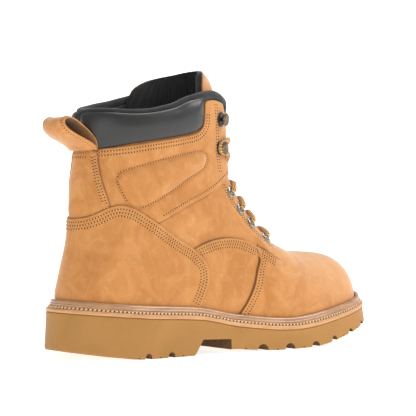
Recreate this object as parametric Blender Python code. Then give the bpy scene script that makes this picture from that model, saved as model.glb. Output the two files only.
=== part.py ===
"""Right-foot six-inch steel toe work boot, every piece as its own closed solid.

Lengths in the tables are millimetres: +X runs to the toe, +Y to the inner side of the foot and
+Z up from the floor. Objects are built in metres.
"""
import bpy
import bmesh
import numpy as np
from math import pi
from mathutils import Vector
from mathutils.geometry import delaunay_2d_cdt

MM = 0.001
LATERAL = -1
MEDIAL = 1

# ---- driving dimensions -------------------------------------------------------------------
TOE_X = 145.0            # foremost point of the upper
HEEL_X = -147.5          # rearmost point of the upper
WIDE_Z = 30.0            # level at which the foot form is widest
WRAP_X = -60.0           # upright axis that the heel charts turn about
WRAP_R = 70.0            # radius that turns a heel angle into a chart length
BACK_S = WRAP_X - WRAP_R * pi / 2    # chart place of the back seam
TOE_FAN_X = 92.0         # where the straight sections end and the toe fan starts
FRAME_X = 4.36           # puts the origin under the middle of the boot's box
WELT_OUT = 6.5           # how far the welt and sole stand outside the upper
CELL = 9.0               # size of the facets on the overlays
BASE_CELL = 11.5         # size of the facets on the base leather
LINING_CELL = 13.5       # size of the facets on the ankle lining

# Layers of the upper, as offsets from the outer form: (outer face, inner face)
OVERLAY = (0.0, -1.2)
BASE = (-2.0, -3.2)
STIFFENER = (-4.1, -5.1)
STEEL_CAP = (-2.4, -4.1)
LINING = (-5.9, -7.3)
TOE_LINING = (-4.8, -6.3)

# Sole line: top of the outsole along X, and underside before the tread is cut
SOLE_X = [-150, -95, -50, -10, 40, 90, 154]
SOLE_TOP = [36.0, 31.0, 28.0, 20.5, 16.0, 22.0, 35.0]
TREAD_X = [-154, -130, -100, -60, 0, 30, 60, 90, 122, 143, 154]
TREAD_Z = [6.5, 3.0, 0.0, 0.0, 0.0, 0.0, 0.8, 5.4, 13.5, 20.0, 23.5]
WELT_HIGH = 4.5          # top of the welt above the sole line
FEATHER_HIGH = 4.9       # bottom edge of the upper above the sole line

# Lacing: (s, z) chart places on both sides, bottom to top
EYELETS = [(32.0, 92.5), (15.5, 105.0), (5.0, 116.5), (-4.0, 130.0)]
LACE_LEVELS = (2.52, 3.3, 4.05, 5.0)   # front stations where the lace crosses over
HOOKS = [(-16.5, 166.5), (-16.0, 190.0)]
LACE_R = 2.0
EYELET_BORE_R = 2.6
EYELET_HOLE_R = 3.9

COLOURS = {
    "nubuck": ((0.62, 0.31, 0.11), 0.85, 0.0),
    "black_leather": ((0.05, 0.05, 0.05), 0.5, 0.0),
    "black_mesh": ((0.02, 0.02, 0.02), 0.95, 0.0),
    "gum_rubber": ((0.5, 0.24, 0.08), 0.6, 0.0),
    "brown_welt": ((0.3, 0.15, 0.07), 0.35, 0.0),
    "tan_welt": ((0.55, 0.3, 0.15), 0.6, 0.0),
    "foam": ((0.75, 0.7, 0.6), 0.9, 0.0),
    "cork": ((0.45, 0.3, 0.17), 0.95, 0.0),
    "board": ((0.6, 0.5, 0.36), 0.9, 0.0),
    "steel": ((0.6, 0.6, 0.6), 0.35, 1.0),
    "bronze": ((0.3, 0.22, 0.13), 0.3, 1.0),
    "silver": ((0.7, 0.7, 0.7), 0.25, 1.0),
    "lace_tan": ((0.6, 0.33, 0.12), 0.85, 0.0),
}


# ---- curves and the boot's outer form ---------------------------------------------------------
def ramp(x, xs, ys):
    """Monotone cubic through a few points, carried on straight past both ends."""
    xs = np.asarray(xs, float)
    ys = np.asarray(ys, float)
    step = np.diff(xs)
    rise = np.diff(ys) / step
    slope = np.zeros_like(ys)
    slope[0] = rise[0]
    slope[-1] = rise[-1]
    for i in range(1, len(xs) - 1):
        if rise[i - 1] * rise[i] > 0:
            w1 = 2 * step[i] + step[i - 1]
            w2 = step[i] + 2 * step[i - 1]
            slope[i] = (w1 + w2) / (w1 / rise[i - 1] + w2 / rise[i])
    x = np.asarray(x, float)
    inside = np.clip(x, xs[0], xs[-1])
    i = np.clip(np.searchsorted(xs, inside, side="right") - 1, 0, len(xs) - 2)
    t = (inside - xs[i]) / step[i]
    value = ((2 * t**3 - 3 * t**2 + 1) * ys[i] + (t**3 - 2 * t**2 + t) * step[i] * slope[i]
             + (3 * t**2 - 2 * t**3) * ys[i + 1] + (t**3 - t**2) * step[i] * slope[i + 1])
    before = np.minimum(x - xs[0], 0) * slope[0]
    after = np.maximum(x - xs[-1], 0) * slope[-1]
    return value + before + after


def centre_y(x):
    """The forefoot swings a little to the inner side."""
    return ramp(x, [-60, 60, 147], [0, 0, 5])


def foot_form(p):
    """Signed distance, roughly, to the low form that the foot and toe box fill."""
    x, y, z = p[..., 0], p[..., 1], p[..., 2]
    width_x = [-147, -110, -60, -20, 25, 65, 100, 147]
    lateral = ramp(x, width_x, [33, 34.5, 36, 41, 49, 52, 49.5, 44])
    medial = ramp(x, width_x, [33, 34, 33.5, 35, 43, 49, 50, 46])
    middle = centre_y(x)
    half = np.where(y > middle, medial, lateral)
    ridge = ramp(x, [-147, -110, -70, -35, -5, 25, 48, 62, 76, 104, 147],
                 [70, 120, 190, 176, 147, 112, 91, 83, 79, 77.5, 76])
    up = np.maximum((z - WIDE_Z) / (ridge - WIDE_Z), 0)
    down = np.maximum((WIDE_Z - z) / 60, 0)
    front = np.maximum((x - TOE_X + 42) / 42, 0)
    rear = np.maximum((HEEL_X + 38 - x) / 38, 0)
    total = (np.abs(y - middle) / half)**2.3 + up**2.3 + front**2.8 + rear**2.1 + down**2
    return (total**(1 / 2.3) - 1) * half


def shaft_form(p):
    """Signed distance, roughly, to the upright form that the ankle fills."""
    x, y, z = p[..., 0], p[..., 1], p[..., 2]
    back = ramp(z, [25, 50, 70, 90, 105, 120, 140, 155, 175, 215],
                [-147.5, -148.3, -147.8, -145.6, -144, -142.8, -140.8, -138.4, -135.4, -135])
    front = ramp(z, [60, 100, 130, 160, 215], [26, 15, 9, 7, 6])
    half = ramp(z, [25, 60, 100, 130, 165, 215], [34, 35, 33.5, 34, 37, 40])
    middle = (back + front) / 2
    reach = (front - back) / 2
    total = (np.abs(y) / half)**2.1 + (np.abs(x - middle) / reach)**2.1
    return (total**(1 / 2.1) - 1) * half


def form(p):
    """The boot's outer form: foot and shaft joined by a soft fillet."""
    a = foot_form(p)
    b = shaft_form(p)
    blend = 14.0
    h = np.clip(0.5 + 0.5 * (b - a) / blend, 0, 1)
    return b * (1 - h) + a * h - blend * h * (1 - h)


def cast(origin, direction):
    """Point where each ray from inside the boot leaves the form."""
    steps = np.linspace(0, 250, 84)
    samples = origin[..., None, :] + direction[..., None, :] * steps[:, None]
    outside = form(samples) >= 0
    first = np.argmax(outside, axis=-1)
    near = steps[np.maximum(first - 1, 0)]
    far = steps[first]
    for _ in range(24):
        middle = (near + far) / 2
        inside = form(origin + direction * middle[..., None]) < 0
        near = np.where(inside, middle, near)
        far = np.where(inside, far, middle)
    return origin + direction * ((near + far) / 2)[..., None]


def normals(p):
    """Outward unit normals of the form."""
    shift = 0.2 * np.eye(3)
    slope = np.stack([form(p + shift[i]) - form(p - shift[i]) for i in range(3)], -1)
    return slope / np.linalg.norm(slope, axis=-1, keepdims=True)


def lift(points, offset):
    """Move points off the form along its normals."""
    return points + normals(points) * np.asarray(offset, float)[..., None]


def rays(x, y, z, dx, dy, dz):
    """Broadcast six components to an array of origins and one of unit directions."""
    parts = np.broadcast_arrays(x, y, z, dx, dy, dz)
    origin = np.stack(parts[:3], -1).astype(float)
    direction = np.stack(parts[3:], -1).astype(float)
    return origin, direction / np.linalg.norm(direction, axis=-1, keepdims=True)


# ---- charts: flat coordinates laid on the form ----------------------------------------------
def wall(t, z):
    """Sides and back. t is 0 at the back seam, negative laterally and positive medially."""
    t = np.asarray(t, float)
    z = np.asarray(z, float)
    side = np.where(t < 0, -1.0, 1.0)
    reach = np.abs(t)
    turn = np.minimum(reach / WRAP_R, pi / 2)
    x = np.maximum(reach + BACK_S, WRAP_X)
    origin, direction = rays(x, centre_y(x), z, -np.cos(turn), side * np.sin(turn), 0 * z)
    return cast(origin, direction)


def wall_t(s, side):
    """Chart place t of a side-view place s, which equals x ahead of the heel axis."""
    return side * (np.asarray(s, float) - BACK_S)


def feather_z(x):
    """Height of the upper's bottom edge."""
    return ramp(x, SOLE_X, SOLE_TOP) + FEATHER_HIGH


def forepart(start, angles, rows):
    """Grid over the forepart: columns are section angles, rows run from start to the toe line."""
    angles = np.asarray(angles, float)
    start = np.broadcast_to(np.asarray(start, float), angles.shape)
    straight = np.maximum(rows // 2, 2)
    share = np.linspace(0, 1, straight)[:, None]
    x = start + (TOE_FAN_X - start) * share
    origin, direction = rays(x, centre_y(x), feather_z(x), 0, np.sin(angles), np.cos(angles))
    body = cast(origin, direction)
    tilt = np.arctan2(feather_z(TOE_X) - feather_z(TOE_FAN_X), TOE_X - TOE_FAN_X)
    turn = np.linspace(0, pi / 2, rows)[1:, None]
    ahead = np.sin(turn) * np.cos(tilt)
    up = np.cos(turn) + np.sin(turn) * np.sin(tilt)
    origin, direction = rays(TOE_FAN_X, centre_y(TOE_FAN_X), feather_z(TOE_FAN_X),
                             np.cos(angles) * ahead, np.sin(angles) * (1 + 0 * turn),
                             np.cos(angles) * up)
    return np.concatenate([body, cast(origin, direction)])


# Stations up the front of the boot: ridge x, ridge z and outward angle above level, in degrees
DORSAL = np.array([(72, 79.5, 84), (60, 84, 72), (48, 91, 58), (30, 106, 47), (15, 123, 36),
                   (8, 145, 12), (7, 170, 3), (6, 200, 0), (6, 236, 0)], float)
DORSAL_DEEP = 40.0


def dorsal(level, angle, raise_by=0.0):
    """Front of the boot. level is a station number, angle turns about the station's own axis,
    and raise_by moves the point out along its ray."""
    level = np.asarray(level, float)
    angle = np.asarray(angle, float)
    index = np.arange(len(DORSAL))
    lean = np.radians(ramp(level, index, DORSAL[:, 2]))
    x = ramp(level, index, DORSAL[:, 0]) - DORSAL_DEEP * np.cos(lean)
    z = ramp(level, index, DORSAL[:, 1]) - DORSAL_DEEP * np.sin(lean)
    origin, direction = rays(x, centre_y(x), z, np.cos(angle) * np.cos(lean), np.sin(angle),
                             np.cos(angle) * np.sin(lean))
    return cast(origin, direction) + direction * np.asarray(raise_by, float)[..., None]


def plan(offset, count=72):
    """Closed outline of the form at its widest level, moved out by offset: (count, 2)."""
    side = np.linspace(0, 1, 400)
    x = np.concatenate([-100 + 0 * side, -100 + 192 * side, 92 + 0 * side, 92 - 192 * side,
                        -100 + 0 * side])
    turn = np.concatenate([pi + side * pi / 2, 1.5 * pi + 0 * side, -pi / 2 + pi * side,
                           pi / 2 + 0 * side, pi / 2 + side * pi / 2])
    origin, direction = rays(x, centre_y(x), WIDE_Z, np.cos(turn), np.sin(turn), 0)
    ring = cast(origin, direction)[:, :2]
    ring = even(ring, count)
    along = np.roll(ring, -1, 0) - np.roll(ring, 1, 0)
    out = np.stack([along[:, 1], -along[:, 0]], -1)
    return ring + offset * out / np.linalg.norm(out, axis=1, keepdims=True)


def even(ring, count):
    """Points at even spacing round a closed ring."""
    closed = np.concatenate([ring, ring[:1]])
    gaps = np.linalg.norm(np.diff(closed, axis=0), axis=1)
    run = np.concatenate([[0], np.cumsum(gaps)])
    at = np.arange(count) / count * run[-1]
    return np.stack([np.interp(at, run, closed[:, k]) for k in range(closed.shape[1])], -1)


def smooth_path(points, per_span):
    """Catmull-Rom curve through open control points."""
    p = np.asarray(points, float)
    p = np.concatenate([2 * p[:1] - p[1:2], p, 2 * p[-1:] - p[-2:-1]])
    t = (np.arange(per_span) / per_span)[:, None]
    runs = []
    for a, b, c, d in zip(p[:-3], p[1:-2], p[2:-1], p[3:]):
        runs.append(0.5 * (2 * b + (c - a) * t + (2 * a - 5 * b + 4 * c - d) * t**2
                           + (3 * b - a - 3 * c + d) * t**3))
    return np.concatenate(runs + [p[-2:-1]])


# ---- mesh building --------------------------------------------------------------------------
def clear_scene():
    for item in list(bpy.data.objects):
        bpy.data.objects.remove(item, do_unlink=True)


def material(name):
    """Principled material of one of the boot's stuffs."""
    if name in bpy.data.materials:
        return bpy.data.materials[name]
    colour, roughness, metallic = COLOURS[name]
    item = bpy.data.materials.new(name)
    item.use_nodes = True
    shader = item.node_tree.nodes["Principled BSDF"]
    shader.inputs["Base Color"].default_value = (*colour, 1)
    shader.inputs["Roughness"].default_value = roughness
    shader.inputs["Metallic"].default_value = metallic
    return item


def build(name, points, faces, stuff, pivot=(0, 0, 0)):
    """One closed object from millimetre points; its origin is put at pivot."""
    bm = bmesh.new()
    corners = [bm.verts.new((Vector(p) - Vector(pivot)) * MM) for p in np.asarray(points).tolist()]
    for face in faces:
        bm.faces.new([corners[i] for i in face])
    bmesh.ops.remove_doubles(bm, verts=bm.verts, dist=0.00001)
    bmesh.ops.dissolve_degenerate(bm, edges=bm.edges, dist=0.000001)
    bmesh.ops.triangulate(bm, faces=[f for f in bm.faces if len(f.verts) > 3])
    bmesh.ops.recalc_face_normals(bm, faces=bm.faces)
    if bm.calc_volume(signed=True) < 0:
        bmesh.ops.reverse_faces(bm, faces=bm.faces)
    mesh = bpy.data.meshes.new(name)
    bm.to_mesh(mesh)
    bm.free()
    mesh.materials.append(material(stuff))
    mesh.shade_smooth()
    mesh.set_sharp_from_angle(angle=0.7)
    item = bpy.data.objects.new(name, mesh)
    item.location = (Vector(pivot) + Vector((FRAME_X, 0, 0))) * MM
    bpy.context.scene.collection.objects.link(item)
    return item


def grid_faces(rows, columns, start=0, flip=False):
    """Quads of a row-by-column sheet of points."""
    faces = []
    for i in range(rows - 1):
        for j in range(columns - 1):
            a = start + i * columns + j
            halves = [[a, a + 1, a + columns + 1], [a, a + columns + 1, a + columns]]
            faces += [half[::-1] for half in halves] if flip else halves
    return faces


def shell(name, outer, inner, stuff, pivot=(0, 0, 0)):
    """Closed body between two sheets of points with the same rows and columns."""
    rows, columns = outer.shape[:2]
    count = rows * columns
    faces = grid_faces(rows, columns) + grid_faces(rows, columns, count, True)
    border = [j for j in range(columns)]
    border += [i * columns + columns - 1 for i in range(1, rows)]
    border += [(rows - 1) * columns + j for j in range(columns - 2, -1, -1)]
    border += [i * columns for i in range(rows - 2, 0, -1)]
    for a, b in zip(border, border[1:] + border[:1]):
        faces.append([b, a, a + count, b + count])
    points = np.concatenate([outer.reshape(-1, 3), inner.reshape(-1, 3)])
    return build(name, points, faces, stuff, pivot)


def fill(outline, cell):
    """Triangles over a flat outline: edge points every cell, and a lattice inside."""
    corners = np.asarray(outline, float)
    edge = []
    for a, b in zip(corners, np.roll(corners, -1, 0)):
        parts = max(1, int(np.ceil(np.linalg.norm(b - a) / cell)))
        edge += [a + (b - a) * k / parts for k in range(parts)]
    edge = np.array(edge)
    low = edge.min(0)
    high = edge.max(0)
    lattice = [(x, y) for x in np.arange(low[0] + cell / 2, high[0], cell)
               for y in np.arange(low[1] + cell / 2, high[1], cell)]
    inner = [q for q in lattice if inside_by(q, edge, 0.45 * cell)]
    points = [Vector(q) for q in np.concatenate([edge, np.array(inner).reshape(-1, 2)]).tolist()]
    result = delaunay_2d_cdt(points, [], [list(range(len(edge)))], 1, 1e-6)
    return np.array([tuple(q) for q in result[0]]), [list(f) for f in result[2]]


def inside_by(point, ring, margin):
    """Whether a flat point lies inside a ring and at least margin from its edge."""
    a = ring
    b = np.roll(ring, -1, 0)
    p = np.asarray(point, float)
    crosses = (a[:, 1] > p[1]) != (b[:, 1] > p[1])
    rise = np.where(crosses, b[:, 1] - a[:, 1], 1)
    hit = a[:, 0] + (p[1] - a[:, 1]) / rise * (b[:, 0] - a[:, 0])
    if np.count_nonzero(crosses & (hit > p[0])) % 2 == 0:
        return False
    along = np.clip(((p - a) * (b - a)).sum(1) / ((b - a)**2).sum(1), 0, 1)
    nearest = a + (b - a) * along[:, None]
    return np.linalg.norm(nearest - p, axis=1).min() > margin


def close_sheets(name, flat_faces, upper, lower, stuff, pivot=(0, 0, 0)):
    """Closed body from one triangulation placed on two surfaces."""
    count = len(upper)
    faces = [list(f) for f in flat_faces]
    used = {(a, b) for face in faces for a, b in zip(face, face[1:] + face[:1])}
    rim = [(a, b) for a, b in used if (b, a) not in used]
    faces += [[i + count for i in reversed(f)] for f in flat_faces]
    faces += [[b, a, a + count, b + count] for a, b in rim]
    return build(name, np.concatenate([upper, lower]), faces, stuff, pivot)


def panel(name, outline, layer, stuff, cell=CELL):
    """Piece of the upper cut to an outline in wall-chart places; layer gives its two offsets."""
    flat, faces = fill(outline, cell)
    base = wall(flat[:, 0], flat[:, 1])
    outer, inner = [edge(flat) if callable(edge) else np.full(len(flat), edge) for edge in layer]
    return close_sheets(name, faces, lift(base, outer), lift(base, inner), stuff)


def slab(name, outline, top, bottom, stuff, cell=14.0, pivot=(0, 0, 0)):
    """Flat-lying piece: outline seen from above, with its top and bottom as functions of x."""
    flat, faces = fill(outline, cell)
    upper = np.column_stack([flat, top(flat[:, 0])])
    lower = np.column_stack([flat, bottom(flat[:, 0])])
    return close_sheets(name, faces, upper, lower, stuff, pivot)


def rim(name, profile, stuff, count=72):
    """Closed band round the boot: profile points are (offset from the form, height above sole)."""
    outlines = [plan(offset, count) for offset, _ in profile]
    rings = [np.column_stack([o, ramp(o[:, 0], SOLE_X, SOLE_TOP) + high])
             for o, (_, high) in zip(outlines, profile)]
    points = np.stack(rings, 1).reshape(-1, 3)
    k = len(profile)
    faces = []
    for i in range(count):
        for j in range(k):
            a = i * k + j
            b = i * k + (j + 1) % k
            c = ((i + 1) % count) * k + (j + 1) % k
            d = ((i + 1) % count) * k + j
            faces.append([a, b, c, d])
    return build(name, points, faces, stuff)


def tube(name, path, radius, stuff, sides=8, pivot=(0, 0, 0)):
    """Round tube along an open path with closed ends; radius may change along it."""
    path = np.asarray(path, float)
    radius = np.broadcast_to(np.asarray(radius, float), len(path))
    along = np.gradient(path, axis=0)
    along /= np.linalg.norm(along, axis=1, keepdims=True)
    up = np.cross(along[0], [0.3, 0.5, 0.81])
    rings = []
    for p, t, r in zip(path, along, radius):
        up = up - t * np.dot(up, t)
        up = up / np.linalg.norm(up)
        out = np.cross(t, up)
        turn = np.arange(sides) / sides * 2 * pi
        rings.append(p + r * (np.cos(turn)[:, None] * up + np.sin(turn)[:, None] * out))
    points = np.concatenate(rings)
    faces = []
    for i in range(len(path) - 1):
        for j in range(sides):
            a = i * sides + j
            b = i * sides + (j + 1) % sides
            faces.append([a, b, b + sides, a + sides])
    faces.append(list(range(sides))[::-1])
    faces.append([len(points) - sides + j for j in range(sides)])
    return build(name, points, faces, stuff, pivot)


def turned(name, profile, centre, axis, stuff, sides=10):
    """Body turned about an axis from (radius, height) points; an open bore closes on itself."""
    axis = np.asarray(axis, float) / np.linalg.norm(axis)
    side = np.cross(axis, [0.2, 0.1, 0.97])
    side /= np.linalg.norm(side)
    other = np.cross(axis, side)
    points = []
    for j in range(sides):
        turn = 2 * pi * j / sides
        out = np.cos(turn) * side + np.sin(turn) * other
        points += [centre + out * r + axis * h for r, h in profile]
    k = len(profile)
    faces = []
    for i in range(sides):
        for j in range(k):
            faces.append([i * k + j, i * k + (j + 1) % k, ((i + 1) % sides) * k + (j + 1) % k,
                          ((i + 1) % sides) * k + j])
    return build(name, points, faces, stuff)


def cut(item, cutter):
    """Take a hidden guide body out of a piece."""
    cutter.hide_render = True
    cutter.display_type = "WIRE"
    change = item.modifiers.new("cut_" + cutter.name, "BOOLEAN")
    change.operation = "DIFFERENCE"
    change.solver = "EXACT"
    change.object = cutter


# ---- sole unit --------------------------------------------------------------------------------
def sole_top(x):
    return ramp(x, SOLE_X, SOLE_TOP)


def tread(x):
    return ramp(x, TREAD_X, TREAD_Z)


def outsole():
    """Rubber cup sole: side wall, tread channels, arch step and a recess for the midsole."""
    flat, faces = fill(plan(WELT_OUT), 15.0)
    upper = np.column_stack([flat, sole_top(flat[:, 0])])
    spread = 1 + 2.0 / 50
    lower = np.column_stack([flat[:, 0] * 1.006, flat[:, 1] * spread, tread(flat[:, 0])])
    sole = close_sheets("outsole", faces, upper, lower, "gum_rubber")
    recess = slab("guide_recess", plan(2.0, 60), lambda x: sole_top(x) + 4,
                  lambda x: sole_top(x) - 7, "gum_rubber", 15.0)
    cut(sole, recess)
    arch = [(-59, -3), (-48.5, 12), (-22, 11), (-22, -3)]
    cut(sole, prism_y("guide_arch", arch, 70))
    for i, x in enumerate((-101, -79.5, 8, 34.5, 61.5, 84.5, 107, 126.5)):
        cut(sole, prism_y(f"guide_channel_{i}", channel(x, float(tread(x))), 70))


def channel(x, z, radius=3.0):
    """Round-roofed groove outline in the X-Z plane, centred on the tread line."""
    turn = np.linspace(pi, 0, 5)
    arc = [(x + radius * np.cos(a), z + 0.8 + radius * np.sin(a)) for a in turn]
    return [(x - radius, z - 6)] + arc + [(x + radius, z - 6)]


def prism_y(name, outline, half):
    """X-Z outline drawn out sideways, for a guide body."""
    count = len(outline)
    points = [(x, side * half, z) for side in (-1, 1) for x, z in outline]
    faces = [list(range(count)), [i + count for i in reversed(range(count))]]
    for i in range(count):
        j = (i + 1) % count
        faces.append([j, i, i + count, j + count])
    return build(name, points, faces, "gum_rubber")


def midsole_and_shank():
    """Foam slab in the outsole's recess, with a steel shank let into its top at the arch."""
    foam = slab("midsole", plan(1.6, 60), lambda x: sole_top(x) - 0.1,
                lambda x: sole_top(x) - 6.6, "foam", 15.0)
    strip = rounded_strip(-78, 30, 9.0)
    pocket = rounded_strip(-78.4, 30.4, 9.4)
    slot = slab("guide_shank", pocket, lambda x: sole_top(x) + 2, lambda x: sole_top(x) - 2.6,
                "foam", 12.0)
    cut(foam, slot)
    slab("shank", strip, lambda x: sole_top(x) - 0.5, lambda x: sole_top(x) - 2.2, "steel", 12.0)


def rounded_strip(start, end, half):
    """Plan outline of a strip with rounded ends."""
    turn = np.linspace(-pi / 2, pi / 2, 5)
    nose = [(end - half + half * np.cos(a), half * np.sin(a)) for a in turn]
    tail = [(start + half - half * np.cos(a), -half * np.sin(a)) for a in turn]
    return nose + tail


def welt_and_seat():
    """Stitched welt strip, storm welt bead, cork filler, insole board and footbed."""
    rim("welt", [(6.5, 0.3), (6.5, 3.7), (5.7, WELT_HIGH), (-6.6, WELT_HIGH), (-6.6, 0.3)],
        "tan_welt")
    bead = [(2.2 + 1.75 * np.cos(a), 7.4 + 2.4 * np.sin(a)) for a in np.arange(5) * 0.4 * pi]
    rim("storm_welt", bead, "brown_welt")
    slab("cork_filler", plan(-7.4, 60), lambda x: sole_top(x) + 4.4, lambda x: sole_top(x) + 0.3,
         "cork", 16.0)
    slab("insole_board", plan(-9.3, 60), lambda x: sole_top(x) + 7.2,
         lambda x: sole_top(x) + 5.0, "board", 16.0)
    bed = plan(-11.2, 60)
    bed[:, 0] = FOOTBED_PIVOT[0] + (bed[:, 0] - FOOTBED_PIVOT[0]) * FOOTBED_SHORT
    slab("footbed", bed, lambda x: sole_top(x) + 12.5, lambda x: sole_top(x) + 7.7,
         "black_mesh", 16.0, FOOTBED_PIVOT)


# ---- upper ------------------------------------------------------------------------------------
LATERAL_TOP_S = [-170, -150, -130, -82, -42, -28, -14, -6]
LATERAL_TOP_Z = [193, 193, 192, 197, 207, 209.5, 207, 200]
MEDIAL_TOP_Z = [193, 195, 198, 205, 210, 210.5, 207, 200]
ROLL_R = 4.0             # radius of the soft roll along the top line
FOOTBED_PIVOT = (134.0, 5.0, 37.5)
FOOTBED_SHORT = 0.98     # length kept of the footbed, so that its heel clears the lining


def top_z(s, side):
    """Height of the top line of one side."""
    return ramp(s, LATERAL_TOP_S, LATERAL_TOP_Z if side == LATERAL else MEDIAL_TOP_Z)


def top_run(side, start, end, below, count=9):
    """Chart points along one side's top line."""
    s = np.linspace(start, end, count)
    return list(zip(wall_t(s, side), top_z(s, side) - below))


def on_side(points, side):
    """Side-view (s, z) points as chart points of one side."""
    return [(float(wall_t(s, side)), z) for s, z in points]


def foot_run(side, start, end, count=8, above=0.0):
    """Chart points along the feather line of one side."""
    t = wall_t(np.linspace(start, end, count), side)
    x = wall(t, 38.0 + 0 * t)[:, 0]
    return list(zip(t, feather_z(x) + above))


EYESTAY = [(-7, 193), (-4.5, 180), (-4, 165), (-1.5, 150), (3.5, 137), (10, 126), (19, 114.5),
           (29, 104.5), (40, 95.5), (49, 88)]
VAMP_SEAM = [(13.5, 75), (10, 66), (6.5, 54), (0, 41), (-8, 30)]
MIDFOOT_TOP = [(-51, 84), (-40, 88.5), (-28, 91.5), (-15, 92.5), (-2, 91), (10, 87), (22, 81),
               (34, 74.5)]
FOXING_FRONT = [(-46, 81), (-39.5, 73), (-37, 64), (-37.5, 56), (-42, 45), (-48, 34)]
FOXING_TOP = [(-170, 109), (-160, 110), (-153, 113), (-146, 117.5), (-138, 119.5), (-128, 117),
              (-116, 111), (-101, 104), (-76, 94), (-51, 84)]
BACKSTAY_EDGE = [(-155, 160), (-150.5, 140), (-145, 119)]
SHAFT_LOW = [(-136, 121), (-127, 118.5), (-115, 112.5), (-102, 107), (-78, 112.5), (-56, 119),
             (-32, 129), (-15, 138.5), (-5, 144)]
COLLAR_LOW = [(-156, 163), (-133, 166), (-95, 171), (-60, 174.5), (-49, 177), (-42.5, 181),
              (-40, 187), (-40, 200)]


def shifted(points, ds, dz):
    return [(s + ds, z + dz) for s, z in points]


def quarter(side, name):
    """Base leather of one side, from the back seam to the eyestay, with eyelet holes."""
    back = wall_t(BACK_S, side) + side * 0.4
    front = [(s + 8, z - 1.5) for s, z in VAMP_SEAM[::-1]] + [(26, 73), (39, 67), (47, 71)]
    outline = [(back, 41.0)] + foot_run(side, -165, -4, 15)
    outline += on_side(front + [(51, 79)] + EYESTAY[::-1], side)
    outline += top_run(side, -13, -164, ROLL_R + 1.6, 15)
    outline.append((back, top_z(BACK_S, side) - ROLL_R - 1.6))
    item = panel(name, clean(outline), BASE, "nubuck", BASE_CELL)
    for i, place in enumerate(EYELETS):
        cut(item, eyelet_guide(f"guide_{name}_{i}", place, side))


def clean(outline):
    """Plain float pairs."""
    return [(float(a), float(b)) for a, b in outline]


def shaft_panel(side, name):
    """Overlay round the ankle, from the backstay to the hooks, notched for the collar pad."""
    gap = 0.6
    edge = shifted(BACKSTAY_EDGE, gap, 0)
    outline = on_side(edge + SHAFT_LOW + EYESTAY[:3][::-1], side)
    outline += top_run(side, -13, -37, ROLL_R + 1.6, 4)
    outline += on_side(shifted(COLLAR_LOW[::-1], 0.6, -0.8), side)
    panel(name, clean(outline), OVERLAY, "nubuck")


def collar_pad(side, name):
    """Padded black collar band of one side."""
    back = wall_t(BACK_S, side) + side * 0.4
    outline = [(back, 163.0)] + on_side(shifted(COLLAR_LOW, -0.4, 0.4), side)
    outline += top_run(side, -42, -164, ROLL_R + 1.5, 13)
    outline.append((back, top_z(BACK_S, side) - ROLL_R - 1.5))
    crown = lambda flat: 2.6 * np.clip(np.sin((flat[:, 1] - 160) / 42 * pi), 0, 1)
    panel(name, clean(outline), (crown, -1.3), "black_leather")


def backstay():
    """Strip up the back seam, between the foxing and the collar."""
    right = on_side(BACKSTAY_EDGE, MEDIAL)
    left = on_side(BACKSTAY_EDGE, LATERAL)
    dip = on_side(shifted(FOXING_TOP[1:4], 0, 1.0), MEDIAL)
    low = [(0.0, 110.0)]
    other = on_side(shifted(FOXING_TOP[1:4], 0, 1.0), LATERAL)
    top = [(8.0, 161.0), (-8.0, 161.0)]
    outline = low + dip + right[::-1] + top + left + other[::-1]
    panel("backstay", clean(outline), (0.6, -1.3), "nubuck", 6.0)


def heel_foxing():
    """One-piece overlay round the heel."""
    half = []
    for side in (MEDIAL, LATERAL):
        top = on_side(shifted(FOXING_TOP[1:], 0, -0.4), side)
        low = foot_run(side, -50, -164, 11, 0.6)
        half.append(top + on_side(FOXING_FRONT, side) + low)
    outline = [(0.0, 108.6)] + half[0] + [(0.0, 41.8)] + half[1][::-1]
    panel("heel_foxing", clean(outline), OVERLAY, "nubuck")


def midfoot_panel(side, name):
    """Side overlay between the foxing and the vamp, running on to the eyestay's tip."""
    gap = 0.7
    top = shifted(MIDFOOT_TOP[1:], 0, -0.3)
    outline = on_side([(-44.5, 84.5)] + top + [(39, 70.5), (36, 68), (16, 77)], side)
    outline += on_side(shifted(VAMP_SEAM, -gap, 0.2), side)
    outline += foot_run(side, -13, -44, 4, 1.0)
    outline += on_side(shifted(FOXING_FRONT[::-1][1:], gap, 0.2), side)
    panel(name, clean(outline), OVERLAY, "nubuck")


VAMP_ANGLE = [0, 16, 26, 34, 39, 43, 46, 55, 64, 76, 90]
VAMP_START = [60, 59, 56, 52, 47, 41.5, 17, 12, 7.5, 2, -8]
VAMP_COLUMNS = [0, 9, 18, 26, 33, 39, 43, 44.5, 46, 53, 61, 70, 80, 90]


def vamp_grid(start_shift, offset_outer, offset_inner, name, stuff, rows=8):
    """Forepart shell behind the toe, its rear edge following the vamp seam and throat."""
    degrees = np.array([-a for a in VAMP_COLUMNS[:0:-1]] + VAMP_COLUMNS, float)
    start = ramp(np.abs(degrees), VAMP_ANGLE, VAMP_START) + start_shift
    grid = forepart(start, np.radians(degrees), rows)
    shell(name, lift(grid, np.full(grid.shape[:2], offset_outer)),
          lift(grid, np.full(grid.shape[:2], offset_inner)), stuff)


def forepart_pieces():
    """Vamp, steel toe cap and forepart lining."""
    vamp_grid(0.0, *OVERLAY, "vamp", "nubuck")
    degrees = np.linspace(-88, 88, 21)
    start = 78 + 8 * np.cos(np.radians(degrees))
    grid = forepart(start, np.radians(degrees), 7)
    cap_outer = lift(grid, np.full(grid.shape[:2], STEEL_CAP[0]))
    cap_inner = lift(grid, np.full(grid.shape[:2], STEEL_CAP[1]))
    shell("steel_toe_cap", cap_outer, cap_inner, "steel")
    vamp_grid(10.0, *TOE_LINING, "vamp_lining", "black_mesh", 7)


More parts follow.
